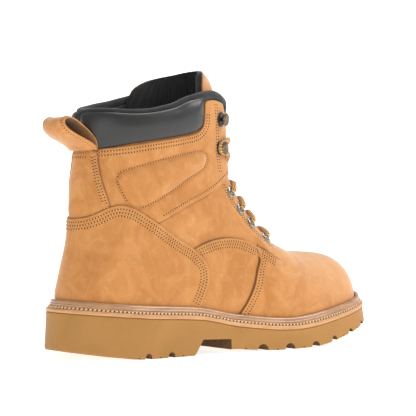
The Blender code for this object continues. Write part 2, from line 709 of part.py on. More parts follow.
def heel_counter():
    """Stiff cup between the leather and the lining round the heel."""
    outline = []
    for side in (MEDIAL, LATERAL):
        top = on_side([(-162, 96), (-130, 95), (-104, 84), (-79, 68), (-70, 52), (-70, 39)], side)
        low = foot_run(side, -76, -164, 9, 0.6)
        outline.append(top + low)
    ring = [(0.0, 96.5)] + outline[0] + [(0.0, 41.6)] + outline[1][::-1]
    panel("heel_counter", clean(ring), STIFFENER, "board")


def shaft_lining():
    """One lining round the ankle and heel, open at the throat, with eyelet holes."""
    outline = [(0.0, 41.4)]
    for side in (MEDIAL, LATERAL):
        half = foot_run(side, -164, -14, 14, 0.4)
        half += on_side([(-2, 41), (3, 54), (7, 66), (12, 78), (22, 84), (34, 84)], side)
        half += on_side(shifted(EYESTAY[::-1][1:], -1.0, -0.5), side)
        half += top_run(side, -14, -164, ROLL_R + 1.6, 15)
        outline += half if side == MEDIAL else half[::-1]
        if side == MEDIAL:
            outline.append((0.0, top_z(BACK_S, side) - ROLL_R - 1.6))
    item = panel("shaft_lining", clean(outline), LINING, "black_mesh", LINING_CELL)
    for side in (LATERAL, MEDIAL):
        for i, place in enumerate(EYELETS):
            cut(item, eyelet_guide(f"guide_lining_{side + 1}_{i}", place, side))


def collar_roll():
    """Soft roll over the top line, running down both eyestay edges."""
    rise = {}
    for side in (LATERAL, MEDIAL):
        s = np.linspace(-163, -12, 17)
        line = list(zip(wall_t(s, side), top_z(s, side) - 1.0))
        line += on_side([(-4, 202.5), (0.6, 196), (1.4, 187)], side)
        rise[side] = line
    run = rise[LATERAL][::-1] + [(0.0, 192.0)] + rise[MEDIAL]
    t, z = np.array(run).T
    path = lift(wall(t, z), np.full(len(t), -3.6))
    radius = ROLL_R * np.ones(len(path))
    for end in (0, -1):
        radius[end] = 2.4
    radius[1] = radius[-2] = 2.8
    radius[2] = radius[-3] = 3.4
    tube("collar_roll", path, radius, "black_mesh", 8)


# ---- tongue and pull loop -----------------------------------------------------------------------
TONGUE_PIVOT = (66.0, 2.0, 68.0)
LOOP_PIVOT = (-136.5, 0.0, 162.0)


def tongue_depth(level, angle):
    """How far the tongue lies under the form: deep under the laces, leaning back at the top."""
    deep = ramp(level, [0, 1, 4.6, 6, 8], [-9.8, -16.5, -16.0, -10.2, -9.0])
    lean = ramp(level, [6.4, 7.0, 7.36, 7.66, 8], [0, 1, 2.5, 6.0, 13.0])
    lean = np.where(level > 6.4, lean, 0) * np.clip(np.cos(angle * 0.8), 0, 1)
    return deep - lean - 5.0 * np.clip(angle - 1.65, 0, 1)


def tongue():
    """Leather face and padded mesh back, wide at the top and wrapping the ankle."""
    rows, columns = 13, 12
    share = np.linspace(-1, 1, columns)[None, :]
    climb = np.linspace(0, 1, rows)[:, None]
    crest = np.where(share < 0, 7.85 - 0.08 * share**2 - 0.3 * share**14,
                     7.85 - 0.3 * share**2 - 0.24 * share**8)
    level = 0.25 + (crest - 0.25) * climb
    left = ramp(level, [0, 3, 4.5, 6, 8], [38, 44, 62, 84, 90])
    right = ramp(level, [0, 3, 4.5, 6, 8], [38, 44, 66, 120, 150])
    angle = np.radians(np.where(share < 0, share * left, share * right))
    face = tongue_depth(level, angle)
    sheets = [dorsal(level, angle, face - below) for below in (0, 1.2, 1.8, 6.5)]
    shell("tongue_leather", sheets[0], sheets[1], "nubuck", TONGUE_PIVOT)
    shell("tongue_pad", sheets[2], sheets[3], "black_mesh", TONGUE_PIVOT)


LOOP_SHAPE = [(-140.0, 162.5), (-139.8, 171), (-141.5, 179.5), (-147, 187.5), (-154, 191.2),
              (-160, 190), (-163.6, 185.5), (-163, 179.5), (-158, 174), (-151, 170),
              (-145, 166.3), (-141.5, 163)]


def pull_loop():
    """Folded strap sewn down at the top of the backstay, standing off behind the collar."""
    outer = even(smooth_ring(LOOP_SHAPE), 20)
    along = np.roll(outer, -1, 0) - np.roll(outer, 1, 0)
    inward = np.stack([-along[:, 1], along[:, 0]], -1)
    inward /= np.linalg.norm(inward, axis=1, keepdims=True)
    if ((outer.mean(0) - outer) * inward).sum() < 0:
        inward = -inward
    inner = outer + 2.2 * inward
    across = np.linspace(-13.5, 13.5, 7)
    bend = 30 - np.sqrt(30**2 - across**2)
    points = []
    for y, back in zip(across, bend):
        points += [(x + back, y, z) for x, z in outer]
        points += [(x + back, y, z) for x, z in inner]
    k = len(outer)
    faces = []
    for j in range(len(across)):
        for i in range(k):
            n = (i + 1) % k
            base = 2 * k * j
            if j < len(across) - 1:
                step = 2 * k
                faces.append([base + i, base + n, base + n + step, base + i + step])
                faces.append([base + k + n, base + k + i, base + k + i + step,
                              base + k + n + step])
            if j in (0, len(across) - 1):
                faces.append([base + i, base + n, base + k + n, base + k + i])
    build("pull_loop", points, faces, "nubuck", LOOP_PIVOT)


def smooth_ring(points):
    """Closed Catmull-Rom curve through flat points."""
    p = np.asarray(points, float)
    long = np.concatenate([p[-2:], p, p[:2]])
    return smooth_path(long, 6)[12:-12]


# ---- lacing ---------------------------------------------------------------------------------
def seat(place, side, offset=0.0):
    """Point on the leather at a side-view place, with the outward normal there."""
    point = wall(wall_t(place[0], side), place[1])
    return lift(point, offset), normals(point)


def eyelet_guide(name, place, side):
    """Round bar through the leather at an eyelet."""
    point, out = seat(place, side)
    bar = [(0, -16), (EYELET_HOLE_R, -16), (EYELET_HOLE_R, 6), (0, 6)]
    return turned(name, bar, point, out, "nubuck", 8)


def hardware():
    """Eyelets, hook plates and speed hooks on both sides."""
    eyelet = [(EYELET_BORE_R, -7.7), (3.3, -7.7), (3.3, -1.5), (5.0, -1.5), (4.6, -0.8),
              (EYELET_BORE_R, -0.9)]
    plate = [(2.4, 0.4), (6.0, 0.4), (5.6, 1.2), (2.4, 1.2)]
    hook = [(0, 0.5), (1.8, 0.5), (1.8, 6.3), (5.4, 6.1), (5.6, 6.7), (0, 7.5)]
    for side, word in ((LATERAL, "lateral"), (MEDIAL, "medial")):
        for i, place in enumerate(EYELETS):
            point, out = seat(place, side)
            turned(f"eyelet_{word}_{i + 1}", eyelet, point, out, "silver")
        for i, place in enumerate(HOOKS):
            point, out = seat(place, side)
            turned(f"hook_plate_{word}_{i + 1}", plate, point, out, "black_leather")
            turned(f"lace_hook_{word}_{i + 1}", hook, point, out, "bronze")


def drop(p):
    """Bring a point near the form onto it."""
    for _ in range(5):
        p = p - normals(p) * form(p)[..., None]
    return p


def beside(place, side, ahead, high):
    """Point beside an eyelet: ahead millimetres toward the throat, high above the form."""
    point, _ = seat(place, side)
    return lift(drop(point + np.array([0.0, -side * ahead, 0.25 * ahead])), high)


def round_hook(place, side):
    """Points round the back of a speed hook's stem, from below it to above it."""
    point, out = seat(place, side)
    inward = np.array([0.0, -side, 0.0])
    inward = inward - out * inward.dot(out)
    inward = inward / np.linalg.norm(inward)
    upward = np.array([0.0, 0.0, 1.0]) - out * out[2]
    turn = np.radians([-75, -130, 180, 130, 75])[:, None]
    return point + out * 3.7 + 4.2 * (np.cos(turn) * inward + np.sin(turn) * upward)


def lace_half(start):
    """One half of the route, from the lowest eyelet up to a lower hook and its tucked end."""
    crossing = -3.0 if start == LATERAL else -8.4
    side = start
    run = []
    for i, place in enumerate(EYELETS):
        for ahead, high in ((11, -10.4), (5, -11.4), (0.6, -10.2), (0, -7.0), (0, -1.5),
                            (0.8, 1.8), (4.5, 2.8), (9.5, 2.9), (14.5, 2.2)):
            run.append(beside(place, side, ahead, high))
        run.append(dorsal(LACE_LEVELS[i], 0.0, crossing))
        side = -side
    run += [beside((-6.0, 158), side, 3, 3.0)]
    run += list(round_hook(HOOKS[0], side))
    run += [beside((-6.0, 173), side, 4, 3.4), dorsal(5.85, side * 0.3, -3.0),
            dorsal(5.55, side * 0.16, -6.0)]
    return run


def lace():
    """Criss-cross lace up to the lower hooks."""
    bar = [dorsal(2.05, a, -10.8) for a in (-0.2, 0.0, 0.2)]
    controls = lace_half(LATERAL)[::-1] + bar + lace_half(MEDIAL)
    tube("lace", smooth_path(controls, 2), LACE_R, "lace_tan", 6)


def main():
    clear_scene()
    outsole()
    midsole_and_shank()
    welt_and_seat()
    for side, word in ((LATERAL, "lateral"), (MEDIAL, "medial")):
        quarter(side, f"quarter_{word}")
        shaft_panel(side, f"shaft_panel_{word}")
        midfoot_panel(side, f"midfoot_panel_{word}")
        collar_pad(side, f"collar_pad_{word}")
    backstay()
    heel_foxing()
    forepart_pieces()
    heel_counter()
    shaft_lining()
    collar_roll()
    tongue()
    pull_loop()
    hardware()
    lace()


main()
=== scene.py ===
"""Looks of a right-foot steel toe work boot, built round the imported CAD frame.

Tables are millimetres in the boot's own shape: +X to the toe, +Y to the inner side of the foot
and +Z up. Meshes are moved by FRAME_X and scaled to metres when they are made.
"""
from math import pi

import bmesh
import bpy
import numpy as np
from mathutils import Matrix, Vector
from mathutils.bvhtree import BVHTree
from mathutils.geometry import delaunay_2d_cdt


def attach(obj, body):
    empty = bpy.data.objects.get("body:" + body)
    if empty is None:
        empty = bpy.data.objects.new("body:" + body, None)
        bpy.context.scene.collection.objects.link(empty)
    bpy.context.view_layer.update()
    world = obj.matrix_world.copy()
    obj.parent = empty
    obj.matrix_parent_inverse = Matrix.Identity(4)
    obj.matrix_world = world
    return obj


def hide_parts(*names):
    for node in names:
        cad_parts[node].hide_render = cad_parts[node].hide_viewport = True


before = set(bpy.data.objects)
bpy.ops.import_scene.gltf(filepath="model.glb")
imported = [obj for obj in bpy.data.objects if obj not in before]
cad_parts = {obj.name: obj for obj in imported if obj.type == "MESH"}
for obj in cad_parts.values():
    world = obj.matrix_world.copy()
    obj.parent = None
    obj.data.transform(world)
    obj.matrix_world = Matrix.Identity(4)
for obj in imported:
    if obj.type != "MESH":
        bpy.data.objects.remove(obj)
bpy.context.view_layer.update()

MM = 0.001
FRAME_X = 4.36           # how far the frame's origin lies behind the tables' zero
LATERAL = -1
MEDIAL = 1
SIDES = ((LATERAL, "lateral"), (MEDIAL, "medial"))
TOE_X = 145.0            # foremost point of the upper
HEEL_X = -147.5          # rearmost point of the upper
WIDE_Z = 30.0            # level at which the foot form is widest
WRAP_X = -60.0           # upright axis that the heel charts turn about
WRAP_R = 70.0            # radius that turns a heel angle into a chart length
BACK_S = WRAP_X - WRAP_R * pi / 2
TOE_FAN_X = 92.0         # where the straight sections end and the toe fan starts
SOLE_X = [-150, -95, -50, -10, 40, 90, 154]
SOLE_TOP = [36.0, 31.0, 28.0, 20.5, 16.0, 22.0, 35.0]
TREAD_X = [-154, -130, -100, -60, -20, 0, 25, 60, 90, 122, 143, 154]
TREAD_Z = [6.5, 3.0, 0.0, 0.0, 3.0, 1.6, 0.2, 0.8, 5.4, 13.5, 20.0, 23.5]
WELT_OUT = 6.5           # how far the welt and sole stand outside the upper
FEATHER_HIGH = 4.9       # bottom edge of the upper above the sole line
EYELETS = [(32.0, 92.5), (15.5, 105.0), (5.0, 116.5), (-4.0, 130.0)]
LACE_LEVELS = (2.52, 3.3, 4.05, 5.0)   # front stations where the lace crosses over
HOOKS = [(-18.0, 165.8), (-17.5, 189.3)]
LACE_R = 2.0
EYELET_BORE_R = 2.6
rng = np.random.default_rng(11)


# ---- curves and the boot's outer form ---------------------------------------------------------
def ramp(x, xs, ys):
    """Monotone cubic through a few points, carried on straight past both ends."""
    xs = np.asarray(xs, float)
    ys = np.asarray(ys, float)
    step = np.diff(xs)
    rise = np.diff(ys) / step
    slope = np.zeros_like(ys)
    slope[0] = rise[0]
    slope[-1] = rise[-1]
    for i in range(1, len(xs) - 1):
        if rise[i - 1] * rise[i] > 0:
            w1 = 2 * step[i] + step[i - 1]
            w2 = step[i] + 2 * step[i - 1]
            slope[i] = (w1 + w2) / (w1 / rise[i - 1] + w2 / rise[i])
    x = np.asarray(x, float)
    inside = np.clip(x, xs[0], xs[-1])
    i = np.clip(np.searchsorted(xs, inside, side="right") - 1, 0, len(xs) - 2)
    t = (inside - xs[i]) / step[i]
    value = ((2 * t**3 - 3 * t**2 + 1) * ys[i] + (t**3 - 2 * t**2 + t) * step[i] * slope[i]
             + (3 * t**2 - 2 * t**3) * ys[i + 1] + (t**3 - t**2) * step[i] * slope[i + 1])
    before = np.minimum(x - xs[0], 0) * slope[0]
    after = np.maximum(x - xs[-1], 0) * slope[-1]
    return value + before + after


def centre_y(x):
    """The forefoot swings a little to the inner side."""
    return ramp(x, [-60, 60, 147], [0, 0, 5])


def foot_form(p):
    """Signed distance, roughly, to the low form that the foot and toe box fill."""
    x, y, z = p[..., 0], p[..., 1], p[..., 2]
    width_x = [-147, -110, -60, -20, 25, 65, 100, 147]
    lateral = ramp(x, width_x, [33, 34.5, 36, 41, 49, 52, 49.5, 44])
    medial = ramp(x, width_x, [33, 34, 33.5, 35, 43, 49, 50, 46])
    middle = centre_y(x)
    half = np.where(y > middle, medial, lateral)
    ridge = ramp(x, [-147, -110, -70, -35, -5, 25, 48, 62, 76, 104, 147],
                 [70, 120, 190, 176, 147, 112, 91, 83, 79, 77.5, 76])
    up = np.maximum((z - WIDE_Z) / (ridge - WIDE_Z), 0)
    down = np.maximum((WIDE_Z - z) / 60, 0)
    front = np.maximum((x - TOE_X + 42) / 42, 0)
    rear = np.maximum((HEEL_X + 38 - x) / 38, 0)
    total = (np.abs(y - middle) / half)**2.3 + up**2.3 + front**2.8 + rear**2.1 + down**2
    return (total**(1 / 2.3) - 1) * half


def shaft_form(p):
    """Signed distance, roughly, to the upright form that the ankle fills."""
    x, y, z = p[..., 0], p[..., 1], p[..., 2]
    back = ramp(z, [25, 50, 70, 90, 105, 120, 140, 155, 175, 215],
                [-147.5, -148.3, -147.8, -145.6, -144, -142.8, -140.8, -138.4, -135.4, -135])
    front = ramp(z, [60, 100, 130, 160, 215], [26, 15, 9, 7, 6])
    half = ramp(z, [25, 60, 100, 130, 165, 215], [34, 35, 33.5, 34, 37, 40])
    middle = (back + front) / 2
    reach = (front - back) / 2
    total = (np.abs(y) / half)**2.1 + (np.abs(x - middle) / reach)**2.1
    return (total**(1 / 2.1) - 1) * half


def form(p):
    """The boot's outer form: foot and shaft joined by a soft fillet."""
    a = foot_form(p)
    b = shaft_form(p)
    blend = 14.0
    h = np.clip(0.5 + 0.5 * (b - a) / blend, 0, 1)
    return b * (1 - h) + a * h - blend * h * (1 - h)


def cast(origin, direction):
    """Point where each ray from inside the boot leaves the form."""
    steps = np.linspace(0, 250, 84)
    samples = origin[..., None, :] + direction[..., None, :] * steps[:, None]
    outside = form(samples) >= 0
    first = np.argmax(outside, axis=-1)
    near = steps[np.maximum(first - 1, 0)]
    far = steps[first]
    for _ in range(24):
        middle = (near + far) / 2
        inside = form(origin + direction * middle[..., None]) < 0
        near = np.where(inside, middle, near)
        far = np.where(inside, far, middle)
    return origin + direction * ((near + far) / 2)[..., None]


def normals(p):
    """Outward unit normals of the form."""
    shift = 0.2 * np.eye(3)
    slope = np.stack([form(p + shift[i]) - form(p - shift[i]) for i in range(3)], -1)
    return slope / np.linalg.norm(slope, axis=-1, keepdims=True)


def lift(points, offset):
    """Move points off the form along its normals."""
    return points + normals(points) * np.asarray(offset, float)[..., None]


def rays(x, y, z, dx, dy, dz):
    """Broadcast six components to an array of origins and one of unit directions."""
    parts = np.broadcast_arrays(x, y, z, dx, dy, dz)
    origin = np.stack(parts[:3], -1).astype(float)
    direction = np.stack(parts[3:], -1).astype(float)
    return origin, direction / np.linalg.norm(direction, axis=-1, keepdims=True)


# ---- charts: flat coordinates laid on the form ------------------------------------------------
def wall(t, z):
    """Sides and back. t is 0 at the back seam, negative laterally and positive medially."""
    t = np.asarray(t, float)
    z = np.asarray(z, float)
    side = np.where(t < 0, -1.0, 1.0)
    reach = np.abs(t)
    turn = np.minimum(reach / WRAP_R, pi / 2)
    x = np.maximum(reach + BACK_S, WRAP_X)
    origin, direction = rays(x, centre_y(x), z, -np.cos(turn), side * np.sin(turn), 0 * z)
    return cast(origin, direction)


def wall_t(s, side):
    """Chart place t of a side-view place s, which equals x ahead of the heel axis."""
    return side * (np.asarray(s, float) - BACK_S)


def feather_z(x):
    """Height of the upper's bottom edge."""
    return ramp(x, SOLE_X, SOLE_TOP) + FEATHER_HIGH


# Stations up the front of the boot: ridge x, ridge z and outward angle above level, in degrees
DORSAL = np.array([(72, 79.5, 84), (60, 84, 72), (48, 91, 58), (30, 106, 47), (15, 123, 36),
                   (8, 145, 12), (7, 170, 3), (6, 200, 0), (6, 236, 0)], float)
DORSAL_DEEP = 40.0


def dorsal(level, angle, raise_by=0.0):
    """Front of the boot. level is a station number, angle turns about the station's own axis,
    and raise_by moves the point out along its ray."""
    level = np.asarray(level, float)
    angle = np.asarray(angle, float)
    index = np.arange(len(DORSAL))
    lean = np.radians(ramp(level, index, DORSAL[:, 2]))
    x = ramp(level, index, DORSAL[:, 0]) - DORSAL_DEEP * np.cos(lean)
    z = ramp(level, index, DORSAL[:, 1]) - DORSAL_DEEP * np.sin(lean)
    origin, direction = rays(x, centre_y(x), z, np.cos(angle) * np.cos(lean), np.sin(angle),
                             np.cos(angle) * np.sin(lean))
    return cast(origin, direction) + direction * np.asarray(raise_by, float)[..., None]


def plan(offset, count=72):
    """Closed outline of the form at its widest level, moved out by offset: (count, 2)."""
    side = np.linspace(0, 1, 400)
    x = np.concatenate([-100 + 0 * side, -100 + 192 * side, 92 + 0 * side, 92 - 192 * side,
                        -100 + 0 * side])
    turn = np.concatenate([pi + side * pi / 2, 1.5 * pi + 0 * side, -pi / 2 + pi * side,
                           pi / 2 + 0 * side, pi / 2 + side * pi / 2])
    origin, direction = rays(x, centre_y(x), WIDE_Z, np.cos(turn), np.sin(turn), 0)
    ring = cast(origin, direction)[:, :2]
    ring = even(ring, count)
    along = np.roll(ring, -1, 0) - np.roll(ring, 1, 0)
    out = np.stack([along[:, 1], -along[:, 0]], -1)
    return ring + offset * out / np.linalg.norm(out, axis=1, keepdims=True)


def even(ring, count):
    """Points at even spacing round a closed ring."""
    closed = np.concatenate([ring, ring[:1]])
    gaps = np.linalg.norm(np.diff(closed, axis=0), axis=1)
    run = np.concatenate([[0], np.cumsum(gaps)])
    at = np.arange(count) / count * run[-1]
    return np.stack([np.interp(at, run, closed[:, k]) for k in range(closed.shape[1])], -1)


def smooth_path(points, per_span):
    """Catmull-Rom curve through open control points."""
    p = np.asarray(points, float)
    p = np.concatenate([2 * p[:1] - p[1:2], p, 2 * p[-1:] - p[-2:-1]])
    t = (np.arange(per_span) / per_span)[:, None]
    runs = []
    for a, b, c, d in zip(p[:-3], p[1:-2], p[2:-1], p[3:]):
        runs.append(0.5 * (2 * b + (c - a) * t + (2 * a - 5 * b + 4 * c - d) * t**2
                           + (3 * b - a - 3 * c + d) * t**3))
    return np.concatenate(runs + [p[-2:-1]])


# Wall chart with true lengths: u runs round the boot from the back seam, negative laterally
REACH = np.linspace(0, 270, 541)


def arc_lengths():
    """Length round the boot from the back seam to each reach, at a level above the sole."""
    p = wall(REACH, np.full(len(REACH), 60.0))
    gaps = np.linalg.norm(np.diff(p, axis=0), axis=1)
    return np.concatenate([[0], np.cumsum(gaps)])


ARC = arc_lengths()


def flat(points, side):
    """Side-view (s, z) points as true-length chart points of one side."""
    p = np.asarray(points, float)
    return np.column_stack([side * np.interp(p[:, 0] - BACK_S, REACH, ARC), p[:, 1]])


def side_s(q):
    """Side-view place s of chart points."""
    return BACK_S + np.interp(np.abs(q[:, 0]), ARC, REACH)


def on_form(q):
    """Chart points laid on the form."""
    t = np.sign(q[:, 0]) * np.interp(np.abs(q[:, 0]), ARC, REACH)
    return wall(t, q[:, 1])


def spaced(path, step):
    """Open path resampled at about the given step."""
    gaps = np.linalg.norm(np.diff(path, axis=0), axis=1)
    run = np.concatenate([[0], np.cumsum(gaps)])
    count = max(2, int(round(run[-1] / step)) + 1)
    at = np.linspace(0, run[-1], count)
    return np.column_stack([np.interp(at, run, path[:, k]) for k in range(path.shape[1])])


def curve(points, step=2.0):
    """Smooth run through points, evenly spaced."""
    return spaced(smooth_path(points, 10), step)


def loop_of(runs):
    """Closed outline from runs, with doubled points dropped."""
    ring = np.concatenate(runs)
    gaps = np.linalg.norm(ring - np.roll(ring, 1, 0), axis=1)
    return ring[gaps > 0.3]


def gap_to(points, line, closed=False):
    """Distance from flat points to a polyline."""
    a = line if closed else line[:-1]
    b = np.roll(line, -1, 0) if closed else line[1:]
    d = b - a
    long = np.maximum((d**2).sum(1), 1e-12)
    found = np.empty(len(points))
    for i in range(0, len(points), 1500):
        p = points[i:i + 1500, None]
        along = np.clip(((p - a) * d).sum(-1) / long, 0, 1)
        found[i:i + 1500] = np.linalg.norm(a + d * along[..., None] - p, axis=-1).min(1)
    return found


def within(points, ring):
    """Which flat points lie inside a ring."""
    a = ring
    b = np.roll(ring, -1, 0)
    found = np.zeros(len(points), bool)
    for i in range(0, len(points), 1500):
        p = points[i:i + 1500, None]
        crosses = (a[:, 1] > p[..., 1]) != (b[:, 1] > p[..., 1])
        rise = np.where(a[:, 1] == b[:, 1], 1, b[:, 1] - a[:, 1])
        hit = a[:, 0] + (p[..., 1] - a[:, 1]) / rise * (b[:, 0] - a[:, 0])
        found[i:i + 1500] = np.count_nonzero(crosses & (hit > p[..., 0]), axis=1) % 2 == 1
    return found


def turned_in(ring, depth):
    """Points of a ring moved inward by depth, where there is room for them."""
    along = np.roll(ring, -1, 0) - np.roll(ring, 1, 0)
    across = np.column_stack([-along[:, 1], along[:, 0]])
    across /= np.linalg.norm(across, axis=1, keepdims=True)
    x, y = ring.T
    area = (x * np.roll(y, -1) - y * np.roll(x, -1)).sum()
    moved = ring + across * depth * np.sign(area)
    keep = (gap_to(moved, ring, True) > 0.96 * depth) & within(moved, ring)
    return moved[keep]


def beside_line(line, by):
    """Chart line moved sideways, to its left where by is positive."""
    along = np.gradient(line, axis=0)
    left = np.column_stack([-along[:, 1], along[:, 0]])
    return line + left / np.linalg.norm(left, axis=1, keepdims=True) * by


def triangulate(ring, cell, insets, lines=()):
    """Triangles over a flat outline: rings just inside its edge, rows along the given lines and
    a hexagonal lattice elsewhere."""
    extra = [turned_in(ring, depth) for depth in insets]
    low = ring.min(0)
    high = ring.max(0)
    rows = np.arange(low[1], high[1], cell * 0.866)
    lattice = [np.column_stack([np.arange(low[0] + (i % 2) * cell / 2, high[0], cell),
                                np.full(len(np.arange(low[0] + (i % 2) * cell / 2, high[0],
                                                      cell)), z)])
               for i, z in enumerate(rows)]
    lattice = np.concatenate(lattice)
    margin = (insets[-1] if insets else 0) + 0.5 * cell
    lattice = lattice[within(lattice, ring) & (gap_to(lattice, ring, True) > margin)]
    for line in lines:
        lattice = lattice[gap_to(lattice, line) > LINE_ROWS[-1] + 0.4 * cell]
        for by in LINE_ROWS:
            row = beside_line(line, by)
            room = within(row, ring) & (gap_to(row, ring, True) > insets[-1] + 0.3)
            extra.append(row[room & (gap_to(row, line) > abs(by) - 0.1)])
    points = np.concatenate([ring] + extra + [lattice])
    result = delaunay_2d_cdt([Vector(p) for p in points.tolist()], [],
                             [list(range(len(ring)))], 1, 1e-5)
    return np.array([tuple(p) for p in result[0]]), [list(f) for f in result[2]]


LINE_ROWS = (-2.2, -1.1, -0.5, 0.0, 0.5, 1.1, 2.2)   # rows of points beside a seam line


# ---- making objects -------------------------------------------------------------------------
def solid(name, points, faces, stuff, body="boot", edge=None, sharp=0.9, uv=None):
    """One closed piece from millimetre points; edge is a dark mark from 0 to 1: dyed cut leather
    edges deepened with painted shade, and painted shade beside seams.
    """
    points = np.asarray(points, float)
    faces = [list(f) for f in faces]
    volume = 0.0
    for f in faces:
        a = points[f[0]]
        for i in range(1, len(f) - 1):
            volume += np.dot(a, np.cross(points[f[i]], points[f[i + 1]]))
    if volume < 0:
        faces = [f[::-1] for f in faces]
    mesh = bpy.data.meshes.new(name)
    mesh.from_pydata(((points + [FRAME_X, 0, 0]) * MM).tolist(), [], faces)
    mesh.validate()
    if edge is not None:
        layer = mesh.attributes.new("edge", "FLOAT", "POINT")
        layer.data.foreach_set("value", np.asarray(edge, float))
    if uv is not None:
        layer = mesh.uv_layers.new(name="UVMap")
        corners = np.empty(len(mesh.loops), int)
        mesh.loops.foreach_get("vertex_index", corners)
        layer.data.foreach_set("uv", np.asarray(uv, float)[corners].ravel())
    mesh.materials.append(STUFF[stuff])
    mesh.shade_smooth()
    mesh.set_sharp_from_angle(angle=sharp)
    item = bpy.data.objects.new(name, mesh)
    bpy.context.scene.collection.objects.link(item)
    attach(item, body)
    return item


def grid_faces(rows, columns, start=0, flip=False):
    """Quads of a row-by-column sheet of points."""
    faces = []
    for i in range(rows - 1):
        for j in range(columns - 1):
            a = start + i * columns + j
            quad = [a, a + 1, a + columns + 1, a + columns]
            faces.append(quad[::-1] if flip else quad)
    return faces


def shell(name, outer, inner, stuff, body="boot", edge=None):
    """Closed body between two sheets of points with the same rows and columns."""
    rows, columns = outer.shape[:2]
    count = rows * columns
    faces = grid_faces(rows, columns) + grid_faces(rows, columns, count, True)
    border = list(range(columns))
    border += [i * columns + columns - 1 for i in range(1, rows)]
    border += [(rows - 1) * columns + j for j in range(columns - 2, -1, -1)]
    border += [i * columns for i in range(rows - 2, 0, -1)]
    for a, b in zip(border, border[1:] + border[:1]):
        faces.append([b, a, a + count, b + count])
    points = np.concatenate([outer.reshape(-1, 3), inner.reshape(-1, 3)])
    marks = None
    if edge is not None:
        marks = np.concatenate([edge.ravel(), np.ones(count)])
    return solid(name, points, faces, stuff, body, marks)


def ring_band(name, rings, stuff, body="boot", uv=None, sharp=0.9):
    """Closed band from rings of points: (places round, points of the section, 3)."""
    count, k = rings.shape[:2]
    faces = []
    for i in range(count):
        for j in range(k):
            n = (i + 1) % count
            m = (j + 1) % k
            faces.append([i * k + j, i * k + m, n * k + m, n * k + j])
    return solid(name, rings.reshape(-1, 3), faces, stuff, body, sharp=sharp, uv=uv)


def tube(name, path, radius, stuff, sides=12, body="boot"):
    """Round tube along an open path with closed ends and a map along and round it."""
    path = np.asarray(path, float)
    radius = np.broadcast_to(np.asarray(radius, float), len(path))
    along = np.gradient(path, axis=0)
    along /= np.linalg.norm(along, axis=1, keepdims=True)
    run = np.concatenate([[0], np.cumsum(np.linalg.norm(np.diff(path, axis=0), axis=1))])
    up = np.cross(along[0], [0.3, 0.5, 0.81])
    rings = []
    places = []
    turn = np.arange(sides) / sides * 2 * pi
    for p, t, r, at in zip(path, along, radius, run):
        up = up - t * np.dot(up, t)
        up = up / np.linalg.norm(up)
        out = np.cross(t, up)
        rings.append(p + r * (np.cos(turn)[:, None] * up + np.sin(turn)[:, None] * out))
        places += [(at, k / sides) for k in range(sides)]
    faces = []
    for i in range(len(path) - 1):
        for j in range(sides):
            a = i * sides + j
            b = i * sides + (j + 1) % sides
            faces.append([a, b, b + sides, a + sides])
    last = len(path) * sides
    faces.append(list(range(sides))[::-1])
    faces.append([last - sides + j for j in range(sides)])
    return solid(name, np.concatenate(rings), faces, stuff, body, uv=places)


def turned(name, profile, centre, axis, stuff, sides=28, body="boot"):
    """Body turned about an axis from (radius, height) points; an open bore closes on itself."""
    axis = np.asarray(axis, float) / np.linalg.norm(axis)
    side = np.cross(axis, [0.2, 0.1, 0.97])
    side /= np.linalg.norm(side)
    other = np.cross(axis, side)
    turn = 2 * pi * np.arange(sides) / sides
    out = np.cos(turn)[:, None] * side + np.sin(turn)[:, None] * other
    r, h = np.asarray(profile, float).T
    rings = centre + out[:, None] * r[:, None] + axis * h[:, None]
    item = ring_band(name, rings, stuff, body, sharp=0.6)
    work = bmesh.new()
    work.from_mesh(item.data)
    bmesh.ops.remove_doubles(work, verts=work.verts, dist=0.00001)
    work.to_mesh(item.data)
    work.free()
    return item


def ripple(q):
    """Slight unevenness of a leather face."""
    u, z = q.T
    return 0.13 * np.sin(u / 8.3 + 1.1 * np.sin(z / 11.0)) * np.sin(z / 7.1 + 0.9 * np.sin(u / 13.0))


def leather(name, ring, height, thick=1.5, stuff="nubuck", cell=3.2, soft=0.8, seam_shade_lines=()):
    """Sheet cut to a chart outline with a rounded edge; height gives its outer face and
    seam_shade_lines are (line, darkness) pairs along another piece's edge or a stitch line, given
    close rows of mesh points and painted shade beside them."""
    q, faces = triangulate(ring, cell, (0.12 * soft, 0.45 * soft, soft),
                           [line for line, _ in seam_shade_lines])
    gap = gap_to(q, ring, True)
    fall = soft - np.sqrt(np.maximum(soft**2 - np.maximum(soft - gap, 0)**2, 0))
    base = on_form(q)
    out = normals(base)
    top = height(q) + ripple(q)
    deep = thick(q) if callable(thick) else thick
    # Dark mark for the nubuck: 1 at the cut edge and back face (dye deepened with painted shade),
    # and painted shade in a band 1.6 mm wide beside each seam line.
    marks = np.clip(1 - gap / (0.5 * soft), 0, 1)
    for line, dark in seam_shade_lines:
        marks = np.maximum(marks, dark * ease(1 - gap_to(q, line) / 1.6))
    upper = base + out * (top - 0.8 * fall)[:, None]
    lower = base + out * (top - deep)[:, None]
    return close_sheets(name, faces, upper, lower, stuff, marks)


def close_sheets(name, faces, upper, lower, stuff, edge=None, body="boot"):
    """Closed body from one triangulation placed on two surfaces."""
    count = len(upper)
    used = {(a, b) for face in faces for a, b in zip(face, face[1:] + face[:1])}
    rim = [(a, b) for a, b in used if (b, a) not in used]
    every = faces + [[i + count for i in reversed(f)] for f in faces]
    every += [[b, a, a + count, b + count] for a, b in sorted(rim)]
    marks = None if edge is None else np.concatenate([edge, np.ones(count)])
    return solid(name, np.concatenate([upper, lower]), every, stuff, body, marks)


def ease(x):
    """Smooth step from 0 to 1."""
    x = np.clip(x, 0, 1)
    return x * x * (3 - 2 * x)


def near(q, line, width):
    """1 on a line, falling smoothly to 0 at width."""
    return ease(1 - gap_to(q, line) / width)


# ---- materials --------------------------------------------------------------------------------
STUFF = {}               # finished materials by name


